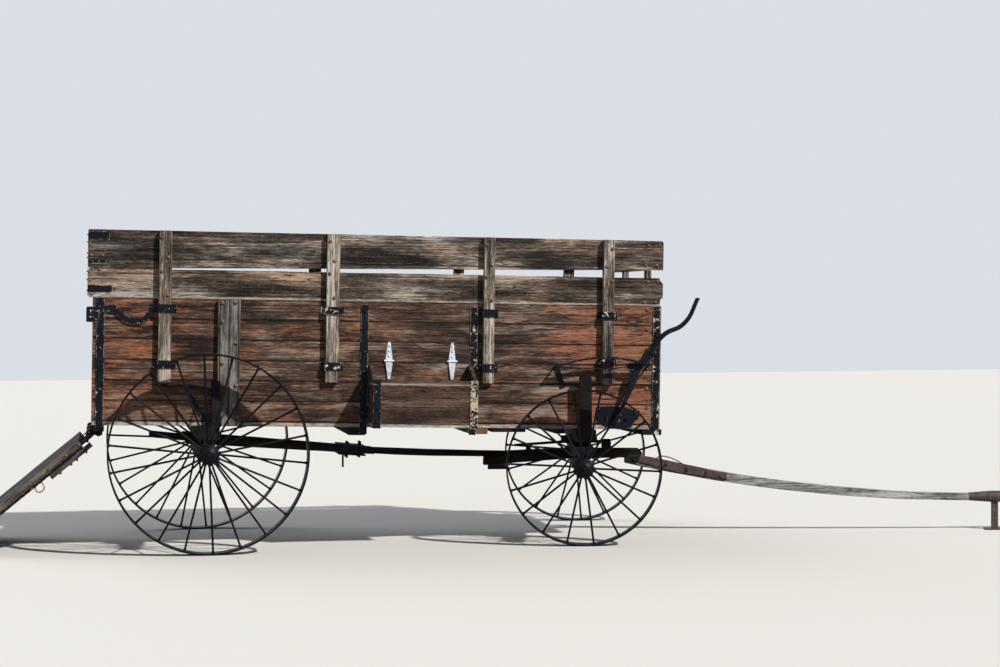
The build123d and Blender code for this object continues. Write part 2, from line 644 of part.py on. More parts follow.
# Tongue: a sagging tapered pole
TONGUE_PIN = 24.0
POLE_TAIL = 62.0
POLE_START = TONGUE_PIN_FORWARD - POLE_TAIL
POLE_END = 2350.0
SAG_LOW_AT = 2420.0
SAG_LOW_HEIGHT = 200.0
tongue_pin_height = front_radius + 1.0
pole_at_pin = tongue_pin_height - 10.0
tongue_sag_radius = (SAG_LOW_AT - TONGUE_PIN_FORWARD) ** 2 / (2 * (pole_at_pin - SAG_LOW_HEIGHT))


def pole_height(u):
    """Centre height of the tongue at u from the king pin."""
    return SAG_LOW_HEIGHT + (u - SAG_LOW_AT) ** 2 / (2 * tongue_sag_radius)


def pole_half(u):
    share = (u - POLE_START) / (POLE_END - POLE_START)
    return (TONGUE_REAR + share * (TONGUE_FRONT - TONGUE_REAR)) / 2


pole_middle = (POLE_START + POLE_END) / 2
POLE_WIDTH_REAR = 70.0
POLE_WIDTH_FRONT = 46.0
EAR_WIDTH = 44.0
ear_behind = FRONT_HOUND_FRONT - TONGUE_PIN_FORWARD - EAR_WIDTH / 2
ear_in = FRONT_HOUND_CLOSE + ear_behind * tan(hound_turn) - HOUND_THICK / 2 / cos(hound_turn) - SEAT - STRAP
with BuildPart() as tongue_pole:
    with BuildSketch(Plane.XZ):
        with BuildLine():
            ThreePointArc((POLE_START, pole_height(POLE_START) - pole_half(POLE_START)),
                          (pole_middle, pole_height(pole_middle) - pole_half(pole_middle)),
                          (POLE_END, pole_height(POLE_END) - pole_half(POLE_END)))
            Line((POLE_END, pole_height(POLE_END) - pole_half(POLE_END)),
                 (POLE_END, pole_height(POLE_END) + pole_half(POLE_END)))
            ThreePointArc((POLE_END, pole_height(POLE_END) + pole_half(POLE_END)),
                          (pole_middle, pole_height(pole_middle) + pole_half(pole_middle)),
                          (POLE_START, pole_height(POLE_START) + pole_half(POLE_START)))
            Line((POLE_START, pole_height(POLE_START) + pole_half(POLE_START)),
                 (POLE_START, pole_height(POLE_START) - pole_half(POLE_START)))
        make_face()
    extrude(amount=POLE_WIDTH_REAR / 2, both=True)
    for side in (-1, 1):
        with BuildSketch(Plane.XY):
            with BuildLine():
                Polyline((POLE_START, side * POLE_WIDTH_REAR / 2), (POLE_END, side * POLE_WIDTH_FRONT / 2),
                         (POLE_END, side * POLE_WIDTH_REAR), (POLE_START, side * POLE_WIDTH_REAR), close=True)
            make_face()
        extrude(amount=1000.0, mode=Mode.SUBTRACT)
    with Locations((TONGUE_PIN_FORWARD, 0, tongue_pin_height)):
        Cylinder(TONGUE_PIN / 2 + SEAT, 2 * POLE_WIDTH_REAR, rotation=(90, 0, 0), mode=Mode.SUBTRACT)
keep("tongue_pole", tongue_pole, gear_frame)

# Iron plates on both sides of the tongue's rear end, doubled at their front, and the cross pin
plate_face = POLE_WIDTH_REAR / 2 + SEAT
DOUBLER = 4.0
DOUBLER_FROM = 640.0
PLATE_TO = 887.0
# Outline of a plate: u, then the heights of its lower and upper edge over the tongue pin
plate_outline = (
    (307.0, -26.0, 26.0),
    (365.0, -20.0, 16.0),
    (494.0, -59.0, -8.0),
    (662.0, -100.0, -46.0),
    (PLATE_TO, -129.0, -93.0),
)
with BuildPart() as tongue_plates:
    upper_edge = [(u, tongue_pin_height + upper) for u, lower, upper in plate_outline]
    lower_edge = [(u, tongue_pin_height + lower) for u, lower, upper in reversed(plate_outline)]
    for side in (-1, 1):
        with BuildSketch(Plane.XZ.offset(-side * plate_face)):
            with BuildLine():
                Polyline(upper_edge + lower_edge, close=True)
            make_face()
        extrude(amount=-side * STRAP)
        with BuildSketch(Plane.XZ.offset(-side * plate_face)):
            with BuildLine():
                Polyline((DOUBLER_FROM, tongue_pin_height - 92.0), (PLATE_TO, tongue_pin_height - 125.0),
                         (PLATE_TO, tongue_pin_height - 97.0), (DOUBLER_FROM, tongue_pin_height - 48.0), close=True)
            make_face()
        extrude(amount=-side * (STRAP + DOUBLER))
    with Locations((TONGUE_PIN_FORWARD, 0, tongue_pin_height)):
        Cylinder(TONGUE_PIN / 2, 2 * (ear_in + STRAP + 1.0), rotation=(90, 0, 0))
keep("tongue_plates", tongue_plates, gear_frame)

# Pipe on the tongue's front end, flaring to its full width, and the prop it is parked on
CAP_RADIUS = 34.0
CAP_START_RADIUS = 24.0
CAP_FLARE = 135.0
CAP_BORE = 21.0
CAP_BORE_DEPTH = 300.0
cap_height = pole_height(POLE_END)
cap_start = POLE_END + SEAT
bore_from = TONGUE_LENGTH - CAP_BORE_DEPTH
with BuildPart() as tongue_cap:
    with BuildSketch(Plane.XZ):
        with BuildLine():
            Polyline((cap_start, cap_height), (cap_start, cap_height + CAP_START_RADIUS),
                     (cap_start + CAP_FLARE, cap_height + CAP_RADIUS), (TONGUE_LENGTH, cap_height + CAP_RADIUS),
                     (TONGUE_LENGTH, cap_height + CAP_BORE), (bore_from, cap_height + CAP_BORE),
                     (bore_from, cap_height), close=True)
        make_face()
    revolve(axis=Axis((0, 0, cap_height), (1, 0, 0)))
keep("tongue_cap", tongue_cap, gear_frame)

PROP_AT = 2510.0
with BuildPart() as tongue_prop:
    block(PROP_AT - 20.0, PROP_AT + 20.0, -8.0, 8.0, 8.0, cap_height - CAP_RADIUS - SEAT)
    block(PROP_AT - 60.0, PROP_AT + 60.0, -45.0, 45.0, 0.0, 8.0)
keep("tongue_prop", tongue_prop, gear_frame)

# Hound ears: iron plates inside the hound ends that hold the tongue pin
ear_top = front_hound_top - 4.0
ear_bottom = tongue_pin_height - 22.0
with BuildPart() as hound_ears:
    for side in (-1, 1):
        with BuildSketch(Plane.XZ.offset(-side * ear_in)):
            with Locations((TONGUE_PIN_FORWARD, (ear_top + ear_bottom) / 2)):
                RectangleRounded(EAR_WIDTH, ear_top - ear_bottom, 8.0)
            with Locations((TONGUE_PIN_FORWARD, tongue_pin_height)):
                Circle(TONGUE_PIN / 2 + SEAT, mode=Mode.SUBTRACT)
        extrude(amount=-side * STRAP)
keep("hound_ears", hound_ears, gear_frame)

# Wheels: tyre, staggered spokes and hub about a wheel axis along Y, outer side towards -Y
HUB_BARREL = 46.0
HUB_FLANGE = 56.0
FLANGE_OUT = 52.0
FLANGE_HALF = 12.0
RIM_STAGGER = 0.35
HUB_OUT = 150.0
HUB_FLOOR = 26.0
# Outer end of the hub: radius and distance in from the end
hub_end_rows = ((45.0, 78.0), (45.0, 44.0), (31.0, 38.0), (31.0, 14.0), (19.0, 8.0), (15.0, 2.0), (0.0, 0.0))


def build_wheel(name, diameter, count, first, frame):
    radius = diameter / 2
    with BuildPart() as tyre:
        with BuildSketch(Plane.XY):
            with Locations((radius - TYRE / 2, 0)):
                Rectangle(TYRE, TYRE_WIDTH)
        revolve(axis=Axis.Y)
    with BuildPart() as hub:
        with BuildSketch(Plane.XY):
            with BuildLine():
                Polyline([(SPINDLE / 2 + SEAT, HUB_IN), (HUB_BARREL, HUB_IN), (HUB_BARREL, FLANGE_OUT + FLANGE_HALF),
                          (HUB_FLANGE, FLANGE_OUT + FLANGE_HALF), (HUB_FLANGE, FLANGE_OUT - FLANGE_HALF),
                          (HUB_BARREL, FLANGE_OUT - FLANGE_HALF), (HUB_BARREL, FLANGE_HALF - FLANGE_OUT),
                          (HUB_FLANGE, FLANGE_HALF - FLANGE_OUT), (HUB_FLANGE, -FLANGE_OUT - FLANGE_HALF)]
                         + [(out, inward - HUB_OUT) for out, inward in hub_end_rows]
                         + [(0, HUB_FLOOR - HUB_OUT), (SPINDLE / 2 + SEAT, HUB_FLOOR - HUB_OUT)], close=True)
            make_face()
        revolve(axis=Axis.Y)
    with BuildPart() as spokes:
        lean = FLANGE_OUT * (1 - RIM_STAGGER) / (radius - TYRE - HUB_FLANGE)
        start = HUB_FLANGE + SEAT + SPOKE / 2 * lean
        end = radius - TYRE - SEAT - SPOKE / 2 * lean
        for index in range(count):
            angle = radians(first + index * 360.0 / count)
            stagger = FLANGE_OUT if index % 2 else -FLANGE_OUT
            foot = Vector(start * cos(angle), stagger, start * sin(angle))
            head = Vector(end * cos(angle), stagger * RIM_STAGGER, end * sin(angle))
            with BuildSketch(Plane(origin=foot, z_dir=head - foot)):
                Circle(SPOKE / 2)
            extrude(amount=(head - foot).length)
    keep("tyre_" + name, tyre, frame)
    keep("hub_" + name, hub, frame)
    keep("spokes_" + name, spokes, frame)


half_track = TRACK / 2
# Wheels: name, diameter, spokes, first spoke angle, frame
wheel_rows = (
    ("rear_right", REAR_WHEEL, REAR_SPOKES, 10.2, Pos(0, -half_track, rear_radius)),
    ("rear_left", REAR_WHEEL, REAR_SPOKES, 3.0, Pos(0, half_track, rear_radius) * Rot(0, 0, 180)),
    ("front_right", FRONT_WHEEL, FRONT_SPOKES, -3.0, gear_frame * Pos(0, -half_track, front_radius)),
    ("front_left", FRONT_WHEEL, FRONT_SPOKES, 5.0, gear_frame * Pos(0, half_track, front_radius) * Rot(0, 0, 180)),
)
for name, diameter, count, first, frame in wheel_rows:
    build_wheel(name, diameter, count, first, frame)

# Tailgate, drawn shut and standing on its hinge line, then let down until its end meets the ground
HINGE_BEHIND = 8.0
HINGE_BELOW = 50.0
hinge_x = box_rear - HINGE_BEHIND
hinge_z = box_bottom - HINGE_BELOW
pitch = radians(BOX_PITCH)
hinge_world_x = hinge_x * cos(pitch) + (hinge_z - rear_radius) * sin(pitch)
hinge_world_z = rear_radius - hinge_x * sin(pitch) + (hinge_z - rear_radius) * cos(pitch)
GATE_FACE = -7.0
gate_back = GATE_FACE + TAILGATE_RAIL
gate_drop = degrees(asin(hinge_world_z / hypot(TAILGATE_LENGTH, gate_back)) - atan(gate_back / TAILGATE_LENGTH))
gate_frame = Pos(hinge_world_x, 0, hinge_world_z) * Rot(0, -90.0 - gate_drop, 0)
gate_half = inner_half - TAILGATE_CLEARANCE
GATE_START = 75.0
RAIL_WIDTH = 42.0
GATE_BOARDS = 7
GATE_BATTEN = 60.0
gate_batten_starts = (690.0, 930.0)
GATE_RUNNER = 28.0
RUNNER_FROM = 30.0
RUNNER_TO = 320.0
with BuildPart() as tailgate_boards:
    board_span = (2 * (gate_half - RAIL_WIDTH - SEAT) + SEAM) / GATE_BOARDS
    for board in range(GATE_BOARDS):
        low = -(gate_half - RAIL_WIDTH - SEAT) + board * board_span
        block(-GATE_FACE - PLANK, -GATE_FACE, low, low + board_span - SEAM, GATE_START, TAILGATE_LENGTH)
keep("tailgate_boards", tailgate_boards, gate_frame)

with BuildPart() as tailgate_rails:
    for side in (-1, 1):
        block(-gate_back, -GATE_FACE, side * (gate_half - RAIL_WIDTH), side * gate_half,
              GATE_START, TAILGATE_LENGTH)
        block(-gate_back - GATE_RUNNER, -gate_back, side * (gate_half - RAIL_WIDTH), side * gate_half,
              RUNNER_FROM, RUNNER_TO)
    for start in gate_batten_starts:
        block(-gate_back, -GATE_FACE - PLANK - SEAT, -gate_half + RAIL_WIDTH / 2, gate_half - RAIL_WIDTH / 2,
              start, start + GATE_BATTEN)
keep("tailgate_rails", tailgate_rails, gate_frame)

HINGE_ROD = 16.0
HINGE_EYE = 19.0
gate_hinges = (-380.0, 0.0, 380.0)
with BuildPart() as tailgate_irons:
    for across in gate_hinges:
        back = -GATE_FACE - PLANK - SEAT
        block(back - STRAP, back, across - STRAP_WIDTH / 2, across + STRAP_WIDTH / 2, 6.0, 640.0)
        with BuildSketch(Plane.XZ.offset(-across - STRAP_WIDTH / 2)):
            Circle(HINGE_EYE)
            with Locations((-8.0, 15.0)):
                Rectangle(26.0, 22.0)
        extrude(amount=STRAP_WIDTH)
        with BuildSketch(Plane.XZ.offset(-across - STRAP_WIDTH / 2)):
            Circle(HINGE_ROD / 2 + SEAT)
        extrude(amount=STRAP_WIDTH, mode=Mode.SUBTRACT)
keep("tailgate_irons", tailgate_irons, gate_frame)

# Hinge rod and its brackets under the rear sill, each bracket with a second eye ahead of the rod
rod_half = gate_half - RUNNING - 4.0
SECOND_EYE = 50.0
BRACKET_FRONT = 72.0
bracket_high = box_bottom - SEAT - cross_sill_rows[0][2] - SEAT
bracket_low = hinge_z - 14.0
with BuildPart() as tailgate_rod:
    with BuildSketch(Plane.XZ.offset(-rod_half)):
        with Locations((hinge_x, hinge_z)):
            Circle(HINGE_ROD / 2)
    extrude(amount=2 * rod_half)
    for across in gate_hinges:
        for side in (-1, 1):
            middle = across + side * (STRAP_WIDTH / 2 + 12.0)
            with BuildSketch(Plane.XZ.offset(-middle - 5.0)):
                with Locations((hinge_x, hinge_z)):
                    Circle(HINGE_EYE - 2.0)
                with Locations((hinge_x + SECOND_EYE, hinge_z - 4.0)):
                    Circle(HINGE_EYE - 2.0)
                with Locations((hinge_x + BRACKET_FRONT / 2, (bracket_low + bracket_high) / 2)):
                    Rectangle(BRACKET_FRONT, bracket_high - bracket_low)
            extrude(amount=10.0)
keep("tailgate_rod", tailgate_rod, box_frame)

# Brake: plate and pivot on the side, all outlines measured from the pivot
PIVOT_X = WHEELBASE + 92.0
PIVOT_Z = box_bottom + 55.5
PIVOT = 18.0
LEVER_IN = stake_face + STRAP + 6.0
LEVER = 12.0
BRAKE_PLATE = 8.0
pivot_place = (PIVOT_X, PIVOT_Z)
plate_rows = (
    (-105, 75.5), (-7, 78.5), (53, 67.5), (148, 51.5), (143, 13.5), (105, -22.5), (99, -42.5), (61, -51.5),
    (19, -57.5), (-38, -46.5), (-77, -22.5), (-109, -14.5), (-98, -3.5), (-116, 19.5),
)
with BuildPart() as brake_plate:
    with BuildSketch(Plane.XZ.offset(box_half + SEAT)):
        with Locations(pivot_place):
            Polygon(*plate_rows, align=None)
    extrude(amount=BRAKE_PLATE)
    with BuildSketch(Plane.XZ.offset(box_half + SEAT)):
        with Locations(pivot_place):
            Circle(PIVOT)
    extrude(amount=LEVER_IN - box_half - 2 * SEAT)
    with BuildSketch(Plane.XZ.offset(box_half + SEAT)):
        with Locations(pivot_place):
            Circle(PIVOT / 2)
    extrude(amount=LEVER_IN + LEVER - box_half)
    with BuildSketch(Plane.XZ.offset(LEVER_IN + LEVER + SEAT)):
        with Locations(pivot_place):
            RegularPolygon(PIVOT * 0.8, 6)
    extrude(amount=STRAP)
keep("brake_plate", brake_plate, box_frame)

# Lever: a curved flat bar with its pawl, then a round tapering handle with a knob
lever_middle = -(LEVER_IN + LEVER / 2)
KNOB_RADIUS = 15.0
KNOB_HALF = 9.0
handle_out = lever_middle - 14.0
lever_rear_edge = ((-16, 0), (22, 78), (63, 191), (92, 290), (139, 355), (184, 407))
lever_front_edge = ((16, 0), (44, 78), (76, 145), (110, 220), (148, 308), (203, 364), (229, 391))
pawl_rows = ((52, 319), (73, 331), (130, 331), (120, 290), (67, 293), (54, 305))
handle_rows = (
    (200.0, lever_middle, 384.0),
    (234.0, lever_middle - 6.0, 458.0),
    (263.0, lever_middle - 12.0, 492.0),
    (303.0, handle_out, 519.0),
    (356.0, handle_out, 541.0),
    (389.0, handle_out, 567.0),
    (418.0, handle_out, 603.0),
    (439.0, handle_out, 647.0),
    (461.0, handle_out, 700.0),
)
HANDLE_THICK = 30.0
HANDLE_THIN = 24.0
with BuildPart() as brake_lever:
    with BuildSketch(Plane.XZ.offset(LEVER_IN)):
        with BuildLine():
            rear_edge = Spline([(PIVOT_X + x, PIVOT_Z + z) for x, z in lever_rear_edge])
            front_edge = Spline([(PIVOT_X + x, PIVOT_Z + z) for x, z in lever_front_edge])
            Line(rear_edge @ 0, front_edge @ 0)
            Line(rear_edge @ 1, front_edge @ 1)
        make_face()
        with Locations(pivot_place):
            Circle(PIVOT - 1.0)
            Polygon(*pawl_rows, align=None)
            Circle(PIVOT / 2 + SEAT, mode=Mode.SUBTRACT)
    extrude(amount=LEVER)
    with BuildLine() as handle_path:
        Spline([(PIVOT_X + x, y, PIVOT_Z + z) for x, y, z in handle_rows])
    with BuildSketch(Plane(origin=handle_path.line @ 0, z_dir=handle_path.line % 0)):
        Circle(HANDLE_THICK / 2)
    with BuildSketch(Plane(origin=handle_path.line @ 1, z_dir=handle_path.line % 1)):
        Circle(HANDLE_THIN / 2)
    sweep(multisection=True)
    knob_place = (PIVOT_X + 464.0, handle_out, PIVOT_Z + 706.0)
    with BuildSketch(Plane(origin=knob_place, x_dir=(1, 0, 0), z_dir=(0, -1, 0))):
        with BuildLine():
            Polyline((0, -KNOB_HALF), (KNOB_RADIUS * 0.75, -KNOB_HALF * 0.8), (KNOB_RADIUS, 0),
                     (KNOB_RADIUS * 0.75, KNOB_HALF * 0.8), (0, KNOB_HALF), close=True)
        make_face()
    revolve(axis=Axis(knob_place, (0, 0, 1)))
keep("brake_lever", brake_lever, box_frame)

# Toothed bow that the pawl catches in, with a foot at each end on the wagon's side
BOW = 7.0
BOW_DEEP = 25.0
LOWER_BAR = 6.0
BOW_TEETH = 30
TOOTH = 10.0
TOOTH_TALL = 6.0
bow_in = LEVER_IN + LEVER + 6.0
bow_rows = ((-364, 300), (-98, 357), (139, 327))
BOW_TIP = (195, 323)
lower_bar_rows = ((-362, 300), (-157, 296), (-98, 296), (-19, 299), (49, 308))
with BuildPart() as brake_bow:
    with BuildSketch(Plane.XZ.offset(bow_in)):
        with BuildLine() as bow_line:
            bow_arc = ThreePointArc(*[(PIVOT_X + x, PIVOT_Z + z) for x, z in bow_rows])
            Line(bow_arc @ 1, (PIVOT_X + BOW_TIP[0], PIVOT_Z + BOW_TIP[1]))
        trace(line_width=BOW)
        with BuildLine():
            Polyline([(PIVOT_X + x, PIVOT_Z + z) for x, z in lower_bar_rows])
        trace(line_width=LOWER_BAR)
        for tooth in range(BOW_TEETH):
            share = 0.2 + 0.78 * tooth / BOW_TEETH
            spot = bow_arc @ share
            turn = bow_arc.tangent_angle_at(share)
            with Locations(Location((spot.X, spot.Y, 0), turn)):
                with Locations((0, (BOW + TOOTH_TALL) / 2 - 1.0)):
                    Trapezoid(TOOTH, TOOTH_TALL, 80, 50)
    extrude(amount=BOW_DEEP)
    for x, z in (bow_rows[0], BOW_TIP):
        block(PIVOT_X + x - BOW / 2, PIVOT_X + x + BOW / 2, -bow_in - BOW_DEEP, -box_half - SEAT,
              PIVOT_Z + z - BOW, PIVOT_Z + z + BOW / 2)
    with BuildSketch(Plane.XZ.offset(box_half + SEAT)):
        with BuildLine():
            Line((PIVOT_X - 352, PIVOT_Z + 312), (PIVOT_X - 311, PIVOT_Z + 180))
        trace(line_width=30.0)
        with Locations((PIVOT_X + BOW_TIP[0], PIVOT_Z + BOW_TIP[1])):
            Rectangle(BOW + TOOTH_TALL, 50.0)
    extrude(amount=STRAP)
keep("brake_bow", brake_bow, box_frame)

low = min(piece.bounding_box().min.X for piece in nodes)
high = max(piece.bounding_box().max.X for piece in nodes)
to_middle = Pos(-(low + high) / 2, 0, 0)
for piece in nodes:
    centred = piece.moved(to_middle)
    centred.label = piece.label
    export_step(centred, "parts/" + piece.label + ".step")

print("origin is", round((low + high) / 2, 3), "ahead of the rear axle")
print("hinge", round(hinge_world_x, 3), round(hinge_world_z, 3), "drop", round(gate_drop, 4))
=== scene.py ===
import bmesh
import bpy
import json
from math import cos, pi, radians, sin, tau
from mathutils import Matrix, Vector, noise


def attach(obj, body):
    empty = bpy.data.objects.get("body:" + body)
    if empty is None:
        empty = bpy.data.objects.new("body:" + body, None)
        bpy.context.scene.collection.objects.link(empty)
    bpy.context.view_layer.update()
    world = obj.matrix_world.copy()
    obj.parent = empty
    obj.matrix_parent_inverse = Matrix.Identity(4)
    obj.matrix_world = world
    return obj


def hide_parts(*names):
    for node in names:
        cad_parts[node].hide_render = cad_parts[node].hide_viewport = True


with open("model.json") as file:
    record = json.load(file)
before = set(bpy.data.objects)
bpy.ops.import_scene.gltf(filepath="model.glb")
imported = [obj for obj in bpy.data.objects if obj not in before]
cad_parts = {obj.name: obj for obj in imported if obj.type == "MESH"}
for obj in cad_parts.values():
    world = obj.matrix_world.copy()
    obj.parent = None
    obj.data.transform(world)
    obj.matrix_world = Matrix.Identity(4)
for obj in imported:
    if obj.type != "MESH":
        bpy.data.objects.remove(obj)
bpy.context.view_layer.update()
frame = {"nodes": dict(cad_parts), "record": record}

# Without a seed of its own, mathutils seeds noise_vector by the clock, and every run would dent the boards anew
NOISE_SEED = 11
noise.seed_set(NOISE_SEED)

scene = bpy.context.scene
scene.view_settings.view_transform = "Standard"

# Places, in metres: the origin of the millimetre drawing is under the rear axle. LEVEL stands level, BOX is tipped
# forward with the box, GEAR is steered, SKEWED is the front bolster's own turn, and GATE lies in the tailgate
REAR_AXLE_X = -1.811227
WHEELBASE = 2.257
REAR_RADIUS = 0.559
FRONT_RADIUS = 0.445
HALF_TRACK = 0.780
BOX_PITCH = radians(1.3)
STEER = radians(-9.5)
SKEW = radians(-8.0)
GATE_HINGE = (-0.652653, 0.0, 0.669835)
GATE_TURN = radians(-128.8807)

MM = Matrix.Scale(0.001, 4)
AT_AXLE = Matrix.Translation((REAR_AXLE_X, 0, 0))
LEVEL = AT_AXLE @ MM
UP_TO_AXLE = Matrix.Translation((0, 0, REAR_RADIUS))
TIP = UP_TO_AXLE @ Matrix.Rotation(BOX_PITCH, 4, "Y") @ UP_TO_AXLE.inverted()
BOX = AT_AXLE @ TIP @ MM
KING = AT_AXLE @ Matrix.Translation((WHEELBASE, 0, 0))
STEERED = KING @ Matrix.Rotation(STEER, 4, "Z")
GEAR = STEERED @ MM
SKEWED = KING @ Matrix.Rotation(SKEW, 4, "Z") @ MM
GATE = AT_AXLE @ Matrix.Translation(GATE_HINGE) @ Matrix.Rotation(GATE_TURN, 4, "Y") @ MM

# Camera, fitted to the photograph
CAMERA_PLACE = (-2.382553, -13.8841, 1.3973)
CAMERA_TURN = (89.2161, 0.3742, -9.6062)
FOCAL_LENGTH = 84.44
camera_data = bpy.data.cameras.new("camera")
camera_data.sensor_width = 36.0
camera_data.lens = FOCAL_LENGTH
camera_data.clip_end = 200.0
camera = bpy.data.objects.new("camera", camera_data)
camera.location = CAMERA_PLACE
camera.rotation_euler = [radians(angle) for angle in CAMERA_TURN]
scene.collection.objects.link(camera)
scene.camera = camera


def linear(red, green, blue):
    """A colour written as it looks on screen, from 0 to 255, for a shader socket."""
    return tuple((level / 255) ** 2.2 for level in (red, green, blue)) + (1.0,)


def tones(*rows):
    """Stops of a colour ramp from rows of place, red, green and blue."""
    return tuple((place, linear(*colour)) for place, *colour in rows)


class Graph:
    """A material's nodes, added one call at a time."""

    def __init__(self, name):
        self.material = bpy.data.materials.new(name)
        self.material.use_nodes = True
        self.tree = self.material.node_tree
        self.shader = self.tree.nodes["Principled BSDF"]

    def add(self, kind, values=(), **settings):
        node = self.tree.nodes.new("ShaderNode" + kind)
        for key, value in settings.items():
            setattr(node, key, value)
        for key, value in dict(values).items():
            self.put(value, node.inputs[key])
        return node

    def put(self, value, socket):
        if isinstance(value, bpy.types.NodeSocket):
            self.tree.links.new(value, socket)
        else:
            socket.default_value = value

    def math(self, operation, first, second=0.0):
        return self.add("Math", {0: first, 1: second}, operation=operation).outputs[0]

    def scaled(self, vector, scale):
        return self.add("VectorMath", {0: vector, 1: scale}, operation="MULTIPLY").outputs[0]

    def moved(self, vector, step):
        return self.add("VectorMath", {0: vector, 1: step}, operation="ADD").outputs[0]

    def noise(self, vector, scale=1.0, detail=3.0, rough=0.55, bend=0.0):
        values = {"Vector": vector, "Scale": scale, "Detail": detail, "Roughness": rough, "Distortion": bend}
        return self.add("TexNoise", values).outputs[0]

    def ramp(self, value, stops):
        node = self.add("ValToRGB", {0: value})
        elements = node.color_ramp.elements
        while len(elements) < len(stops):
            elements.new(1.0)
        for element, (place, colour) in zip(elements, stops):
            element.position = place
            element.color = colour if isinstance(colour, tuple) else (colour, colour, colour, 1.0)
        return node.outputs[0]

    def mix(self, share, first, second, blend="MIX"):
        node = self.add("Mix", data_type="RGBA", blend_type=blend)
        self.put(share, node.inputs[0])
        self.put(first, node.inputs[6])
        self.put(second, node.inputs[7])
        return node.outputs[2]

    def local(self, matrix):
        """Surface position in metres in one of the drawing's frames."""
        place, turn, _ = matrix.decompose()
        values = {0: self.add("TexCoord").outputs["Object"], "Location": place, "Rotation": turn.to_euler()}
        return self.add("Mapping", values, vector_type="TEXTURE").outputs[0]

    def axis(self, vector, name):
        return self.add("SeparateXYZ", {0: vector}).outputs[name]

    def bump(self, height, strength, distance=0.002):
        values = {"Height": height, "Strength": strength, "Distance": distance}
        self.put(self.add("Bump", values).outputs[0], self.shader.inputs["Normal"])


def stretch(along, slow, fast):
    """Scale that draws a texture out along the grain."""
    return tuple(slow if axis == along else fast for axis in "XYZ")


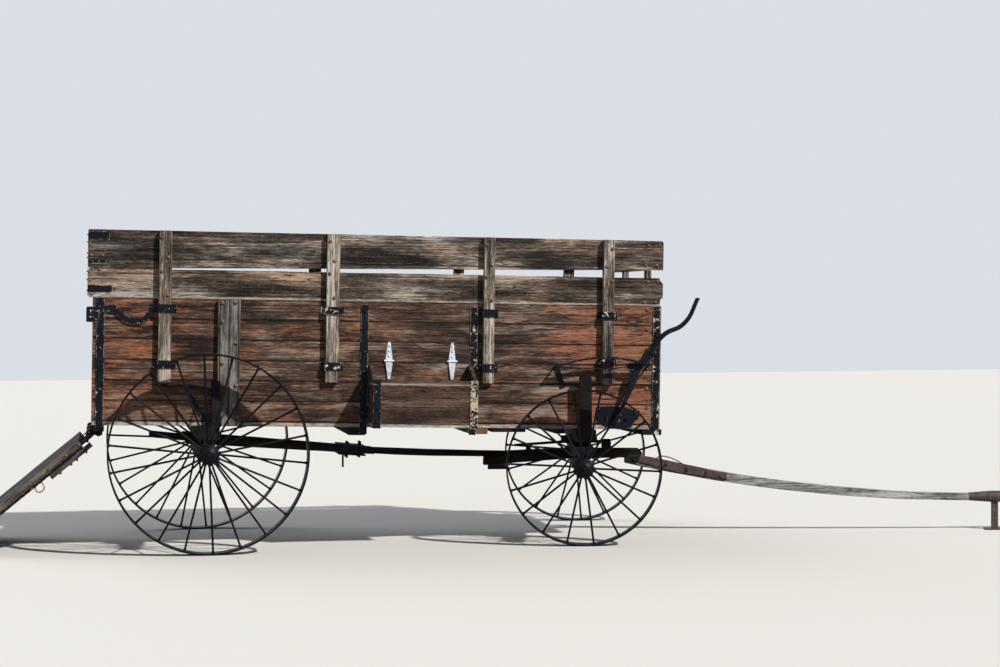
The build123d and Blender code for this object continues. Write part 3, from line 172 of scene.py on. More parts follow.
def wood(name, matrix, along, shades, rows=None, paint=None, knots=0.5, spread=0.16, stripe=0.0, warm=None,
         pale_bands=(), seams=0.0, fades=(), cracks=(0.006, 0.022)):
    """Weathered wood: grain, stains, drying cracks, knots, dirt between boards, and what is left of old paint.

    shades: four stops from the darkest weathering to the lightest, by the summed grain, whose middle is near 0.8.
    rows: axis, start and pitch of the boards, which then differ in grain and, by spread, in tone.
    paint: two colours, the level above which it is left, then places along the wagon with more of it
    (middle, reach, amount). warm: a colour to multiply by, its strength, and where there is more of it
    (axis, level, reach, amount). pale_bands: axis, level, half height and colour of paler bands: painted
    highlights along edges, and the weathered end of a sill. fades: an amount that darkens, or lightens when
    negative, then for each axis where it is full and where it ends. cracks: how near its middle the crack noise
    is for a full crack, and for none.
    """
    g = Graph(name)
    spot = g.local(matrix)
    shade_shift = 0.0
    grain_at = spot
    seam = 0.0
    if rows:
        across, start, pitch = rows
        place = g.math("DIVIDE", g.math("SUBTRACT", g.axis(spot, across), start), pitch)
        board = g.add("TexWhiteNoise", {"W": g.math("FLOOR", place)}, noise_dimensions="1D")
        grain_at = g.moved(spot, g.scaled(board.outputs["Color"], (5.0, 5.0, 5.0)))
        shade_shift = g.math("MULTIPLY", g.math("SUBTRACT", board.outputs["Value"], 0.5), spread)
        if seams:
            part = g.math("FRACT", place)
            nearest = g.math("MULTIPLY", g.math("MINIMUM", part, g.math("SUBTRACT", 1.0, part)), pitch)
            wander = g.math("MULTIPLY", g.noise(g.scaled(spot, stretch(along, 9.0, 9.0)), detail=3.0), 0.004)
            seam = g.ramp(g.math("SUBTRACT", nearest, wander), ((0.0, seams), (0.0035, 0.0)))
    fine = g.noise(g.scaled(grain_at, stretch(along, 20.0, 185.0)), detail=6.0, rough=0.74)
    streak = g.noise(g.scaled(grain_at, stretch(along, 1.6, 120.0)), detail=4.0, rough=0.6, bend=0.1)
    stain = g.noise(g.scaled(grain_at, stretch(along, 2.4, 12.0)), detail=2.5, rough=0.45, bend=0.5)
    tone = g.math("ADD", g.math("MULTIPLY", fine, 0.6), g.math("MULTIPLY", streak, 0.35))
    tone = g.math("ADD", tone, g.math("MULTIPLY", stain, 0.65))
    tone = g.math("ADD", tone, shade_shift)
    if stripe:
        rings = g.add("TexWave", {"Vector": g.scaled(grain_at, stretch(along, 2.2, 13.0)), "Scale": 5.0,
                                  "Distortion": 9.0, "Detail": 3.0, "Detail Scale": 1.1},
                      bands_direction="Z" if along == "X" else "X").outputs["Fac"]
        tone = g.math("ADD", tone, g.math("MULTIPLY", g.math("SUBTRACT", rings, 0.5), stripe))
    for amount, *limits in fades:
        share = amount
        for axis, full, none in limits:
            rise = g.math("DIVIDE", g.math("SUBTRACT", g.axis(spot, axis), full), none - full)
            share = g.math("MULTIPLY", share, g.ramp(rise, ((0.0, 1.0), (1.0, 0.0))))
        tone = g.math("SUBTRACT", tone, share)
    colour = g.ramp(tone, shades)
    if warm:
        apart = g.moved(g.scaled(grain_at, stretch(along, 2.2, 14.0)), (4.0, 1.0, 7.0))
        flush = g.noise(apart, detail=3.0, rough=0.5, bend=0.3)
        if len(warm) > 2:
            axis, level, reach, amount = warm[2]
            rise = g.math("DIVIDE", g.math("SUBTRACT", g.axis(spot, axis), level), reach)
            flush = g.math("ADD", flush, g.ramp(rise, ((0.0, 0.0), (1.0, amount))))
        colour = g.mix(g.ramp(flush, ((0.40, 0.0), (0.66, warm[1]))), colour, warm[0], "MULTIPLY")
    if paint:
        patch = g.noise(g.scaled(grain_at, stretch(along, 6.0, 44.0)), detail=7.0, rough=0.78)
        region = g.noise(g.scaled(spot, (1.5, 1.5, 4.5)), detail=2.0)
        left = g.math("ADD", g.math("MULTIPLY", patch, 0.75), g.math("MULTIPLY", region, 0.45))
        for middle, reach, amount in paint[3:]:
            near = g.math("ABSOLUTE", g.math("SUBTRACT", g.axis(spot, "X"), middle))
            left = g.math("ADD", left, g.ramp(g.math("DIVIDE", near, reach), ((0.3, amount), (1.0, 0.0))))
        share = g.ramp(left, ((paint[2], 0.0), (paint[2] + 0.09, 0.7)))
        colour = g.mix(share, colour, g.ramp(fine, ((0.35, paint[0]), (0.65, paint[1]))))
    crack = g.noise(g.scaled(grain_at, stretch(along, 1.6, 75.0)), detail=2.0, rough=0.5, bend=0.3)
    split = g.ramp(g.math("ABSOLUTE", g.math("SUBTRACT", crack, 0.5)), ((cracks[0], 1.0), (cracks[1], 0.0)))
    long_split = g.math("MULTIPLY", split, g.ramp(stain, ((0.44, 0.0), (0.55, 0.95))))
    colour = g.mix(long_split, colour, shades[0][1])
    knot = g.add("TexVoronoi", {"Vector": g.scaled(grain_at, stretch(along, 2.2, 9.5)), "Scale": 1.0})
    dark = g.ramp(knot.outputs["Distance"], ((0.05, knots), (0.12, 0.0)))
    colour = g.mix(dark, colour, shades[0][1])
    # Paler bands: painted highlights along edges, and a weathered sill end
    for axis, level, half, pale in pale_bands:
        height = g.math("ADD", g.axis(spot, axis), g.math("MULTIPLY", g.math("SUBTRACT", streak, 0.5), 0.02))
        away = g.math("SUBTRACT", g.math("ABSOLUTE", g.math("SUBTRACT", height, level)), half)
        near = g.ramp(g.math("DIVIDE", away, 0.006), ((0.0, 0.8), (1.0, 0.0)))
        colour = g.mix(near, colour, g.ramp(fine, ((0.3, shades[1][1]), (0.6, pale))))
    fleck = g.noise(spot, scale=240.0, detail=1.0)
    colour = g.mix(g.ramp(fleck, ((0.69, 0.0), (0.74, 0.45))), colour, shades[3][1])
    if seams:
        colour = g.mix(seam, colour, linear(8, 7, 7))
    g.put(colour, g.shader.inputs["Base Color"])
    g.put(g.ramp(fine, ((0.3, 0.72), (0.7, 0.95))), g.shader.inputs["Roughness"])
    g.shader.inputs["Specular IOR Level"].default_value = 0.22
    height = g.math("ADD", fine, g.math("MULTIPLY", streak, 0.8))
    g.bump(g.math("SUBTRACT", height, g.math("MULTIPLY", long_split, 2.0)), 0.9)
    return g.material


def iron(name, chips=0.60, chip_tone=(204, 194, 168), rust=0.63, base=(8, 13, 23), rough=0.5, pale=(), edges=0.10,
         grain=62.0):
    """Black paint on iron, chipped to a pale primer, most of all on edges, and rusting. Its blue tint is partly
    a painted reflection of the sky.

    chips: level of wear above which the primer shows. pale: places along the wagon (middle, reach, amount) that
    have lost more paint. edges: how much more wear an edge has. grain: chips to a metre.
    """
    g = Graph(name)
    spot = g.local(BOX)
    coarse = g.noise(spot, scale=grain, detail=6.0, rough=0.68)
    fine = g.noise(spot, scale=260.0, detail=3.0)
    broad = g.noise(spot, scale=7.0, detail=2.0)
    worn = g.math("ADD", g.math("MULTIPLY", coarse, 0.8), g.math("MULTIPLY", broad, 0.25))
    rounded = g.add("Bevel", {"Radius": 0.004}, samples=4).outputs["Normal"]
    flat = g.add("NewGeometry").outputs["Normal"]
    turned = g.add("VectorMath", {0: rounded, 1: flat}, operation="DOT_PRODUCT").outputs["Value"]
    worn = g.math("ADD", worn, g.ramp(turned, ((0.90, edges), (0.995, 0.0))))
    for middle, reach, amount in pale:
        near = g.math("ABSOLUTE", g.math("SUBTRACT", g.axis(spot, "X"), middle))
        worn = g.math("ADD", worn, g.ramp(near, ((reach, amount), (reach + 0.01, 0.0))))
    dark = linear(*base)
    dusty = linear(base[0] + 9, base[1] + 10, base[2] + 12)
    dust = g.math("ADD", g.math("MULTIPLY", fine, 0.5), g.math("MULTIPLY", broad, 0.5))
    colour = g.ramp(dust, ((0.42, dark), (0.68, dusty)))
    brown = g.ramp(fine, ((0.35, linear(46, 28, 20)), (0.65, linear(90, 52, 36))))
    spots = g.noise(spot, scale=58.0, detail=5.0, rough=0.7)
    rusty = g.ramp(spots, ((rust, 0.0), (rust + 0.05, 0.75)))
    colour = g.mix(rusty, colour, brown)
    bare = g.ramp(worn, ((chips, 0.0), (chips + 0.012, 1.0)))
    dirty = linear(*(level - 60 for level in chip_tone))
    primer = g.ramp(fine, ((0.35, dirty), (0.62, linear(*chip_tone))))
    colour = g.mix(bare, colour, primer)
    g.put(colour, g.shader.inputs["Base Color"])
    g.put(g.ramp(coarse, ((0.35, rough - 0.1), (0.65, rough + 0.25))), g.shader.inputs["Roughness"])
    g.shader.inputs["Specular IOR Level"].default_value = 0.14
    g.bump(g.math("SUBTRACT", g.math("MULTIPLY", fine, 0.35), g.math("ADD", bare, rusty)), 0.45, 0.0012)
    return g.material


def rust(name, shades, rough=0.75, metal=0.0):
    """Rusted or galvanised metal in blotches of several tones."""
    g = Graph(name)
    spot = g.add("TexCoord").outputs["Object"]
    coarse = g.noise(spot, scale=40.0, detail=6.0, rough=0.7)
    fine = g.noise(spot, scale=280.0, detail=3.0)
    blotch = g.math("ADD", g.math("MULTIPLY", coarse, 0.75), g.math("MULTIPLY", fine, 0.25))
    g.put(g.ramp(blotch, shades), g.shader.inputs["Base Color"])
    g.put(g.ramp(coarse, ((0.35, rough - 0.12), (0.65, rough + 0.12))), g.shader.inputs["Roughness"])
    g.shader.inputs["Metallic"].default_value = metal
    g.bump(g.math("ADD", coarse, fine), 0.5, 0.001)
    return g.material


# Colours of boards and old paint
painted_tones = tones((0.65, 17, 14, 13), (0.745, 50, 42, 38), (0.845, 92, 80, 73), (0.94, 150, 138, 128))
rack_tones = tones((0.65, 18, 16, 16), (0.74, 58, 54, 51), (0.835, 108, 102, 97), (0.93, 178, 171, 164))
stake_tones = tones((0.655, 28, 24, 22), (0.74, 84, 76, 70), (0.835, 136, 129, 121), (0.93, 200, 193, 184))
cleat_tones = tones((0.61, 28, 26, 25), (0.73, 78, 74, 71), (0.85, 124, 119, 114), (0.98, 176, 171, 164))
timber_tones = tones((0.58, 6, 6, 7), (0.74, 15, 14, 15), (0.88, 30, 28, 27), (1.04, 56, 50, 46))
pole_tones = tones((0.63, 50, 50, 49), (0.735, 126, 126, 123), (0.84, 172, 171, 168), (0.96, 222, 221, 217))
gate_tones = tones((0.58, 14, 15, 17), (0.74, 38, 39, 42), (0.88, 66, 67, 69), (1.04, 106, 105, 103))
rail_tones = tones((0.58, 26, 23, 20), (0.74, 58, 52, 45), (0.88, 88, 80, 70), (1.04, 130, 121, 107))
floor_tones = tones((0.58, 24, 21, 18), (0.74, 64, 57, 50), (0.88, 100, 91, 82), (1.04, 144, 135, 123))
old_red = (linear(120, 68, 48), linear(186, 124, 94))
rust_brown = linear(252, 222, 200)
red_brown = linear(255, 216, 198)

# The planks of the box, in millimetres up from the floor line
BOX_BOTTOM = 705.0
SILL_STRIP = 28.0
PLANK_HEIGHT = 115.0
rows_up = ("Z", (BOX_BOTTOM + SILL_STRIP) / 1000, PLANK_HEIGHT / 1000)
# A painted highlight: a pale band along the bottom edge of the side planks
bottom_edge_highlight = ("Z", (BOX_BOTTOM - 80.0) / 1000, 0.098, linear(200, 195, 188))

side_paint = (*old_red, 0.66, (2.45, 0.8, 0.12), (-0.45, 0.5, 0.07))
side_warmth = (red_brown, 0.9, ("X", 2.0, -1.0, 0.10))
# The side planks are darkest near 1.02 m, fading out by 1.30 m, and a little lighter below 0.86 m
side_fades = ((-0.07, ("Z", 0.86, 1.02)), (0.04, ("Z", 1.02, 1.30)))
side_wood = wood("side_planks", BOX, "X", painted_tones, rows_up, side_paint, spread=0.10, warm=side_warmth,
                 pale_bands=(bottom_edge_highlight,), seams=1.0, fades=side_fades)
end_wood = wood("end_planks", BOX, "Y", painted_tones, rows_up, (*old_red, 0.62), warm=(red_brown, 0.8), seams=1.0)
# A painted highlight along the lower edge of the lower rack board
rack_edge_highlight = (("Z", 1.4265, 0.0035, linear(196, 186, 172)),)
rack_rows = ("Z", 1.2, 0.4)
rack_warmth = (rust_brown, 1.0, ("Z", 1.60, -0.02, 0.09))
rack_fades = ((-0.065, ("X", -0.30, -0.22), ("Z", 1.57, 1.60)), (0.05, ("X", 2.1, 1.6), ("Z", 1.58, 1.60)),
              (-0.03, ("X", 2.6, 2.2), ("Z", 1.62, 1.60)))
rack_wood = wood("rack_boards", BOX, "X", rack_tones, rack_rows, knots=0.7, spread=0.03, warm=rack_warmth,
                 pale_bands=rack_edge_highlight, fades=rack_fades)
rack_end_wood = wood("rack_end_boards", BOX, "Y", rack_tones, rack_rows, knots=0.7, spread=0.03, stripe=0.06,
                     warm=(rust_brown, 0.9))
stake_fades = ((0.06, ("X", 2.4, 1.8)), (-0.01, ("X", 0.0, 0.3)))
stake_wood = wood("stakes", BOX, "Z", stake_tones, ("X", -1.1, 0.45), spread=0.06, warm=(rust_brown, 0.45),
                  fades=stake_fades)
cleat_wood = wood("cleats", BOX, "Z", cleat_tones, ("X", 0.062, 0.0515), spread=0.10, seams=0.8)
# Painted highlights along the top and the bottom edge of the side box's front
side_box_edge_highlights = (("Z", 0.959, 0.003, linear(190, 180, 168)), ("Z", 0.722, 0.008, linear(204, 202, 200)))
side_box_tones = tones((0.63, 14, 12, 11), (0.755, 42, 34, 29), (0.89, 78, 63, 54), (1.02, 124, 108, 96))
side_box_wood = wood("side_box_boards", BOX, "X", side_box_tones, None, (*old_red, 0.70), 0.3, stripe=0.30,
                     warm=(red_brown, 0.8), pale_bands=side_box_edge_highlights)
floor_wood = wood("floor_boards", BOX, "X", floor_tones, ("Y", -0.5472, 0.1369), seams=0.9)
sill_wood = wood("sills", BOX, "Y", timber_tones, pale_bands=(("X", 1.551, 0.05, linear(150, 116, 86)),))
beam_wood = wood("axle_timber", LEVEL, "Y", timber_tones)
reach_wood = wood("reach_timber", LEVEL, "X", timber_tones)
gear_beam_wood = wood("front_beams", GEAR, "Y", timber_tones)
hound_wood = wood("front_hounds", GEAR, "X", timber_tones)
pole_wood = wood("pole", GEAR, "X", pole_tones, knots=0.6, fades=((0.08, ("X", 0.9, 2.1)),), cracks=(0.008, 0.020))
gate_wood = wood("gate_boards", GATE, "Z", gate_tones, ("Y", -0.498, 0.1422), seams=0.9)
rail_wood = wood("gate_rails", GATE, "Z", rail_tones)

# The blacks of the irons are tinted blue, partly as a painted reflection of the sky
black_iron = iron("black_iron", chips=0.665)
# The side irons lose more paint at three straps, and more than other irons along their edges, where the pale wear
# also paints a highlight
pale_straps = ((1.512, 0.035, 0.05), (-0.603, 0.035, 0.01), (2.59, 0.035, 0.05))
side_iron = iron("side_irons", chips=0.65, chip_tone=(214, 208, 190), pale=pale_straps, edges=0.14, grain=36.0)
chipped_iron = iron("chipped_iron", chips=0.64)
pale_staples = ((0.697, 0.08, 0.05), (1.594, 0.07, 0.03), (2.294, 0.08, 0.08))
staple_iron = iron("staples", chips=0.65, chip_tone=(226, 220, 200), pale=pale_staples, edges=0.06, grain=34.0)
box_strap_iron = iron("box_straps", chips=0.655, pale=((1.50, 0.04, 0.14),))
brake_iron = iron("brake_iron", chips=0.70, chip_tone=(214, 210, 198), base=(9, 14, 25), edges=0.10)
wheel_iron = iron("wheel_iron", chips=0.78, rust=0.64, base=(5, 8, 15), rough=0.42, edges=0.02)
bolt_tones = tones((0.35, 48, 34, 29), (0.5, 104, 76, 64), (0.66, 170, 136, 116))
plate_tones = tones((0.36, 34, 27, 28), (0.5, 64, 51, 50), (0.62, 90, 74, 68), (0.74, 146, 100, 72))
zinc_tones = tones((0.34, 92, 100, 112), (0.43, 190, 198, 210), (0.62, 232, 238, 248))
bolt_rust = rust("rusty_bolts", bolt_tones)
plate_rust = rust("brown_plate", plate_tones, 0.6)
ring_rust = rust("ring", tones((0.4, 140, 96, 66), (0.6, 190, 140, 104)))
zinc = rust("zinc", zinc_tones, 0.42, 0.2)

# Materials of the CAD nodes; what is not named is a wheel's
node_materials = {
    "cross_sills": sill_wood, "rear_axle": beam_wood, "rear_bolster": beam_wood, "front_bolster": beam_wood,
    "reach": reach_wood, "rear_hounds": reach_wood, "front_axle": gear_beam_wood, "sand_board": gear_beam_wood,
    "front_hounds": hound_wood, "sway_bars": black_iron, "hound_ears": black_iron, "hound_clip": black_iron,
    "king_pin": black_iron, "tongue_plates": plate_rust, "tongue_cap": plate_rust, "tongue_prop": plate_rust,
    "tailgate_irons": black_iron, "tailgate_rod": black_iron, "lid_hinges": zinc, "brake_bow": brake_iron,
    "brake_lever": brake_iron, "brake_plate": brake_iron, "side_box_irons": box_strap_iron,
    "latch_bar_right": chipped_iron, "latch_bar_left": chipped_iron, "side_irons_right": side_iron,
    "side_irons_left": side_iron, "stake_staples_right": staple_iron, "stake_staples_left": staple_iron,
}
for node, part in frame["nodes"].items():
    material = node_materials.get(node, wheel_iron)
    part.data.materials.clear()
    part.data.materials.append(material)


def body_of_node(node):
    """The body that a CAD node belongs to."""
    for body, members in frame["record"]["behaviour"]["bodies"].items():
        if node in members:
            return body
    raise KeyError(node)


def add_piece(name, bm, matrix, body, material, smooth=False):
    """A finished mesh drawn in millimetres in one of the frames, carried by a body."""
    bmesh.ops.recalc_face_normals(bm, faces=bm.faces)
    bm.transform(matrix)
    mesh = bpy.data.meshes.new(name)
    bm.to_mesh(mesh)
    bm.free()
    if smooth:
        mesh.shade_smooth()
    mesh.materials.append(material)
    piece = bpy.data.objects.new(name, mesh)
    scene.collection.objects.link(piece)
    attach(piece, body)
    return piece


def roughen(bm, along, amount, seed):
    """Small dents and waves, longer along the grain than across it."""
    waves = stretch(along, 0.006, 0.03)
    for vert in bm.verts:
        spot = Vector([place * wave for place, wave in zip(vert.co, waves)])
        push = noise.noise_vector(spot + Vector((seed, seed * 1.7, 3.1)))
        for i, axis in enumerate("XYZ"):
            if axis != along:
                vert.co[i] += push[i] * amount


def slice_along(bm, along, step):
    """Cross loops at even steps, so that long boards can be roughened."""
    index = "XYZ".index(along)
    low = min(vert.co[index] for vert in bm.verts)
    high = max(vert.co[index] for vert in bm.verts)
    normal = Vector([1.0 if i == index else 0.0 for i in range(3)])
    count = int((high - low) / step)
    for cut in range(1, count):
        everything = bm.verts[:] + bm.edges[:] + bm.faces[:]
        bmesh.ops.bisect_plane(bm, geom=everything, plane_co=normal * (low + cut * step), plane_no=normal)


def sharp_edges(bm):
    """Edges at a real corner of the shape."""
    return [edge for edge in bm.edges if len(edge.link_faces) == 2 and edge.calc_face_angle(0) > 0.6]


def cut_with(bm, cutter):
    """The mesh with another closed mesh taken out of it."""
    meshes = []
    for label, part in (("work", bm), ("cutter", cutter)):
        mesh = bpy.data.meshes.new(label)
        part.to_mesh(mesh)
        part.free()
        meshes.append(bpy.data.objects.new(label, mesh))
        scene.collection.objects.link(meshes[-1])
    work, tool = meshes
    boolean = work.modifiers.new("cut", "BOOLEAN")
    boolean.operation = "DIFFERENCE"
    boolean.object = tool
    boolean.solver = "EXACT"
    boolean.use_self = True
    result = bmesh.new()
    result.from_object(work, bpy.context.evaluated_depsgraph_get())
    for part in meshes:
        mesh = part.data
        bpy.data.objects.remove(part)
        bpy.data.meshes.remove(mesh)
    return result


def add_prism(bm, outline, across_from, across_to):
    """A closed block over an outline of x and z, between two places across the wagon."""
    near = [bm.verts.new((x, across_from, z)) for x, z in outline]
    far = [bm.verts.new((x, across_to, z)) for x, z in outline]
    bm.faces.new(near)
    bm.faces.new(list(reversed(far)))
    for i in range(len(outline)):
        j = (i + 1) % len(outline)
        bm.faces.new((near[j], near[i], far[i], far[j]))


def worn(node, matrix, along, material, slot, edge=2.0, amount=0.9, step=55.0, cuts=None, seed=1.0):
    """A wooden node's boards with rubbed edges, dents and cuts, in the node's place."""
    bm = bmesh.new()
    bm.from_mesh(frame["nodes"][node].data)
    bm.transform(matrix.inverted())
    bmesh.ops.remove_doubles(bm, verts=bm.verts, dist=0.01)
    bmesh.ops.dissolve_limit(bm, angle_limit=0.02, verts=bm.verts, edges=bm.edges)
    if cuts:
        bm = cut_with(bm, cuts)
        bmesh.ops.dissolve_limit(bm, angle_limit=0.02, verts=bm.verts, edges=bm.edges)
    bmesh.ops.bevel(bm, geom=sharp_edges(bm), offset=edge, segments=1, profile=0.6, affect="EDGES",
                    clamp_overlap=True)
    slice_along(bm, along, step)
    roughen(bm, along, amount, seed)
    bmesh.ops.triangulate(bm, faces=[face for face in bm.faces if len(face.verts) > 4])
    piece = add_piece("worn_" + node, bm, matrix, body_of_node(node), material)
    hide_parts(node)
    return piece


def knot_hole(x, z, wide, tall, seed):
    """Outline of an irregular hole."""
    points = []
    for index in range(9):
        angle = index * tau / 9
        reach = 1.0 + 0.25 * noise.noise(Vector((seed, index * 1.3, 0.5)))
        points.append((x + wide * cos(angle) * reach, z + tall * sin(angle) * reach))
    return points


# Holes, splinters and splits of the rack boards: outlines of x and z, then how deep they go
RACK_REAR = -677.0
RACK_OUT = 570.0
RACK_IN = 548.0
RACK_JOINT = 1585.2
CLEAR = 5.0
PLANK_TOP = BOX_BOTTOM + SILL_STRIP + 6 * PLANK_HEIGHT
through = 40.0
rack_cuts = (
    (knot_hole(-142, 1627, 12, 6, 1.0), through),
    (knot_hole(-556, 1607, 9, 6, 2.0), through),
    (knot_hole(1033, 1761, 8, 5, 3.0), through),
    (knot_hole(514, 1632, 9, 8, 4.0), through),
    (knot_hole(1745, 1520, 10, 5, 5.0), through),
    (knot_hole(134, 1664, 9, 5, 6.0), 6.0),
    (knot_hole(386, 1728, 7, 5, 7.0), 6.0),
    (knot_hole(590, 1702, 8, 6, 8.0), 6.0),
    (knot_hole(1180, 1696, 10, 6, 9.0), 6.0),
    (knot_hole(1365, 1482, 8, 6, 10.0), 6.0),
    (knot_hole(1804, 1484, 9, 5, 11.0), 6.0),
    (((540, 1592), (556, 1580), (585, 1577), (612, 1583), (618, 1592)), through),
    (((2640, 1553), (2622, 1555), (2611, 1566), (2604, 1577), (2600, 1592), (2640, 1592)), through),
    (((2640, 1474), (2624, 1470), (2610, 1462), (2606, 1440), (2609, 1415), (2640, 1415)), through),
    (((2640, 1812), (2640, 1790), (2622, 1793), (2612, 1812)), through),
    (((-690, 1590), (-690, 1572), (-668, 1578), (-660, 1590)), through),
    (((980, 1640), (1240, 1636.5), (1500, 1639), (1240, 1639.5)), 9.0),
    (((-225, 1612), (200, 1613), (660, 1620), (200, 1616)), 10.0),
    (((760, 1634), (1000, 1631), (1300, 1640), (1000, 1634.5)), 9.0),
    (((-672, 1604), (-630, 1596), (-560, 1597), (-520, 1602), (-575, 1603), (-625, 1606)), 12.0),
    (((-672, 1552), (-600, 1546), (-470, 1549), (-600, 1550)), 9.0),
    (((2330, 1500), (2450, 1493), (2560, 1490), (2632, 1494), (2560, 1495), (2450, 1498)), 11.0),
    (((2350, 1528), (2480, 1532), (2632, 1538), (2480, 1535)), 9.0),
    (((-650, 1690), (-420, 1688), (-300, 1689), (-420, 1691)), 8.0),
    (((1900, 1712), (2120, 1709), (2250, 1710), (2120, 1712.5)), 8.0),
    (((300, 1500), (520, 1497), (640, 1498), (520, 1500)), 8.0),
    (((-180, 1470), (40, 1466), (260, 1468), (40, 1469.5)), 8.0),
    (((2060, 1528), (2330, 1524), (2440, 1526), (2330, 1528)), 8.0),
    (((1210, 1810), (1222, 1797), (1262, 1798), (1270, 1810)), through),
    (((1930, 1418), (1942, 1430), (1990, 1428), (2003, 1418)), through),
)
# The joint between the two boards is open as far as the first stake, and wider on the left side throughout
joint = ((-690, RACK_JOINT - 2), (-247, RACK_JOINT - 1.5), (-247, RACK_JOINT + 4.5), (-690, RACK_JOINT + 4))
left_gap = ((-247, RACK_JOINT + 2), (2640, RACK_JOINT + 40), (2640, RACK_JOINT + 64), (-247, RACK_JOINT + 24))
# The dark line between the top plank and the rack boards
GROOVE_DEPTH = 9.0
top_groove = ((-680, PLANK_TOP - 4.5), (2640, PLANK_TOP - 4.5), (2640, PLANK_TOP + 6.0), (-680, PLANK_TOP + 6.0))
SIDES = ((-1, "right"), (1, "left"))
for side, label in SIDES:
    cutter = bmesh.new()
    add_prism(cutter, joint, side * (RACK_OUT + CLEAR), side * (RACK_OUT - 12.0))
    if side > 0:
        add_prism(cutter, left_gap, RACK_OUT + 6.0, RACK_IN - 6.0)
    for outline, depth in rack_cuts:
        add_prism(cutter, outline, side * (RACK_OUT + CLEAR), side * (RACK_OUT - depth))
    bmesh.ops.recalc_face_normals(cutter, faces=cutter.faces)
    worn("rack_boards_" + label, BOX, "X", rack_wood, "bare_boards", 2.0, 1.4, 55.0, cutter, 2.0 + side)
    groove = bmesh.new()
    add_prism(groove, top_groove, side * (RACK_OUT + CLEAR), side * (RACK_OUT - GROOVE_DEPTH))
    bmesh.ops.recalc_face_normals(groove, faces=groove.faces)
    worn("box_side_" + label, BOX, "X", side_wood, "painted_boards", 2.6, 1.0, 55.0, groove, 5.0 + side)
    worn("side_stakes_" + label, BOX, "Z", stake_wood, "stake_wood", 2.5, 1.4, 45.0, seed=9.0 + side)

worn("floor_boards", BOX, "X", floor_wood, "bare_boards", 2.0, 0.8)
worn("front_end_planks", BOX, "Y", end_wood, "painted_boards", 2.4, 0.9)
worn("front_rack_boards", BOX, "Y", rack_end_wood, "bare_boards", 2.2, 1.3)
worn("front_end_posts", BOX, "Z", stake_wood, "stake_wood", 2.5, 1.2, 45.0)
worn("rear_cleats", BOX, "Z", cleat_wood, "stake_wood", 2.5, 1.2, 45.0)
worn("side_box", BOX, "X", side_box_wood, "painted_boards", 1.8, 0.8)
worn("cross_sills", BOX, "Y", sill_wood, "dark_timber", 3.0, 1.4)
worn("tailgate_boards", GATE, "Z", gate_wood, "bare_boards", 2.0, 0.9)
worn("tailgate_rails", GATE, "Z", rail_wood, "stake_wood", 2.5, 1.2)
worn("rear_axle", LEVEL, "Y", beam_wood, "dark_timber", 3.0, 1.4)
worn("rear_bolster", LEVEL, "Y", beam_wood, "dark_timber", 3.0, 1.4)
worn("front_bolster", SKEWED, "Y", gear_beam_wood, "dark_timber", 3.0, 1.2)
worn("rear_hounds", LEVEL, "X", reach_wood, "dark_timber", 3.0, 1.0)
worn("reach", LEVEL, "X", reach_wood, "dark_timber", 3.0, 1.0)
worn("front_hounds", GEAR, "X", hound_wood, "dark_timber", 3.0, 1.0)
worn("tongue_pole", GEAR, "X", pole_wood, "grey_pole", 5.0, 1.6)


def facing(spot, outward):
    """A placement at a spot whose own Z points outward."""
    return Matrix.Translation(spot) @ Vector(outward).to_track_quat("Z", "Y").to_matrix().to_4x4()


def circle(radius, sides, height=0.0):
    """Points round Z at a height."""
    turns = [i * tau / sides for i in range(sides)]
    return [Vector((radius * cos(turn), radius * sin(turn), height)) for turn in turns]


def add_lathe(bm, place, profile, sides=12):
    """A turned shape from rows of radius and height."""
    rings = []
    for radius, height in profile:
        points = circle(radius, sides, height) if radius > 0 else [Vector((0, 0, height))]
        rings.append([bm.verts.new(place @ point) for point in points])
    for low, high in zip(rings, rings[1:]):
        for i in range(sides):
            j = (i + 1) % sides
            if len(low) == 1 and len(high) == 1:
                continue
            if len(high) == 1:
                bm.faces.new((low[i], low[j], high[0]))
            elif len(low) == 1:
                bm.faces.new((low[0], high[j], high[i]))
            else:
                bm.faces.new((low[i], low[j], high[j], high[i]))
    if len(rings[0]) > 1:
        bm.faces.new(list(reversed(rings[0])))
    if len(rings[-1]) > 1:
        bm.faces.new(rings[-1])


def add_dome(bm, place, radius):
    """Domed head of a carriage bolt."""
    add_lathe(bm, place, ((radius, -1.0), (radius, 0.18 * radius), (0.88 * radius, 0.5 * radius),
                          (0.5 * radius, 0.78 * radius), (0, 0.86 * radius)), 12)


def add_nut(bm, place, radius):
    """Washer, hexagonal nut and the end of the bolt."""
    r = radius
    add_lathe(bm, place, ((1.45 * r, -0.5), (1.45 * r, 0.16 * r), (1.36 * r, 0.22 * r)), 14)
    add_lathe(bm, place, ((0.98 * r, 0.1 * r), (0.98 * r, 0.86 * r), (0.8 * r, 1.0 * r)), 6)
    add_lathe(bm, place, ((0.5 * r, 0.5 * r), (0.5 * r, 1.35 * r), (0.38 * r, 1.5 * r)), 10)


HEAD_SCALE = 1.2


def hardware(name, matrix, body, material, rows):
    """Bolts of one kind in one place: rows of x, y, z, outward direction, size and shape."""
    bm = bmesh.new()
    for x, y, z, outward, size, shape in rows:
        add_head = add_nut if shape == "nut" else add_dome
        add_head(bm, facing((x, y, z), outward), size * HEAD_SCALE)
    return add_piece(name, bm, matrix, body, material)


RUBBED = 1.2


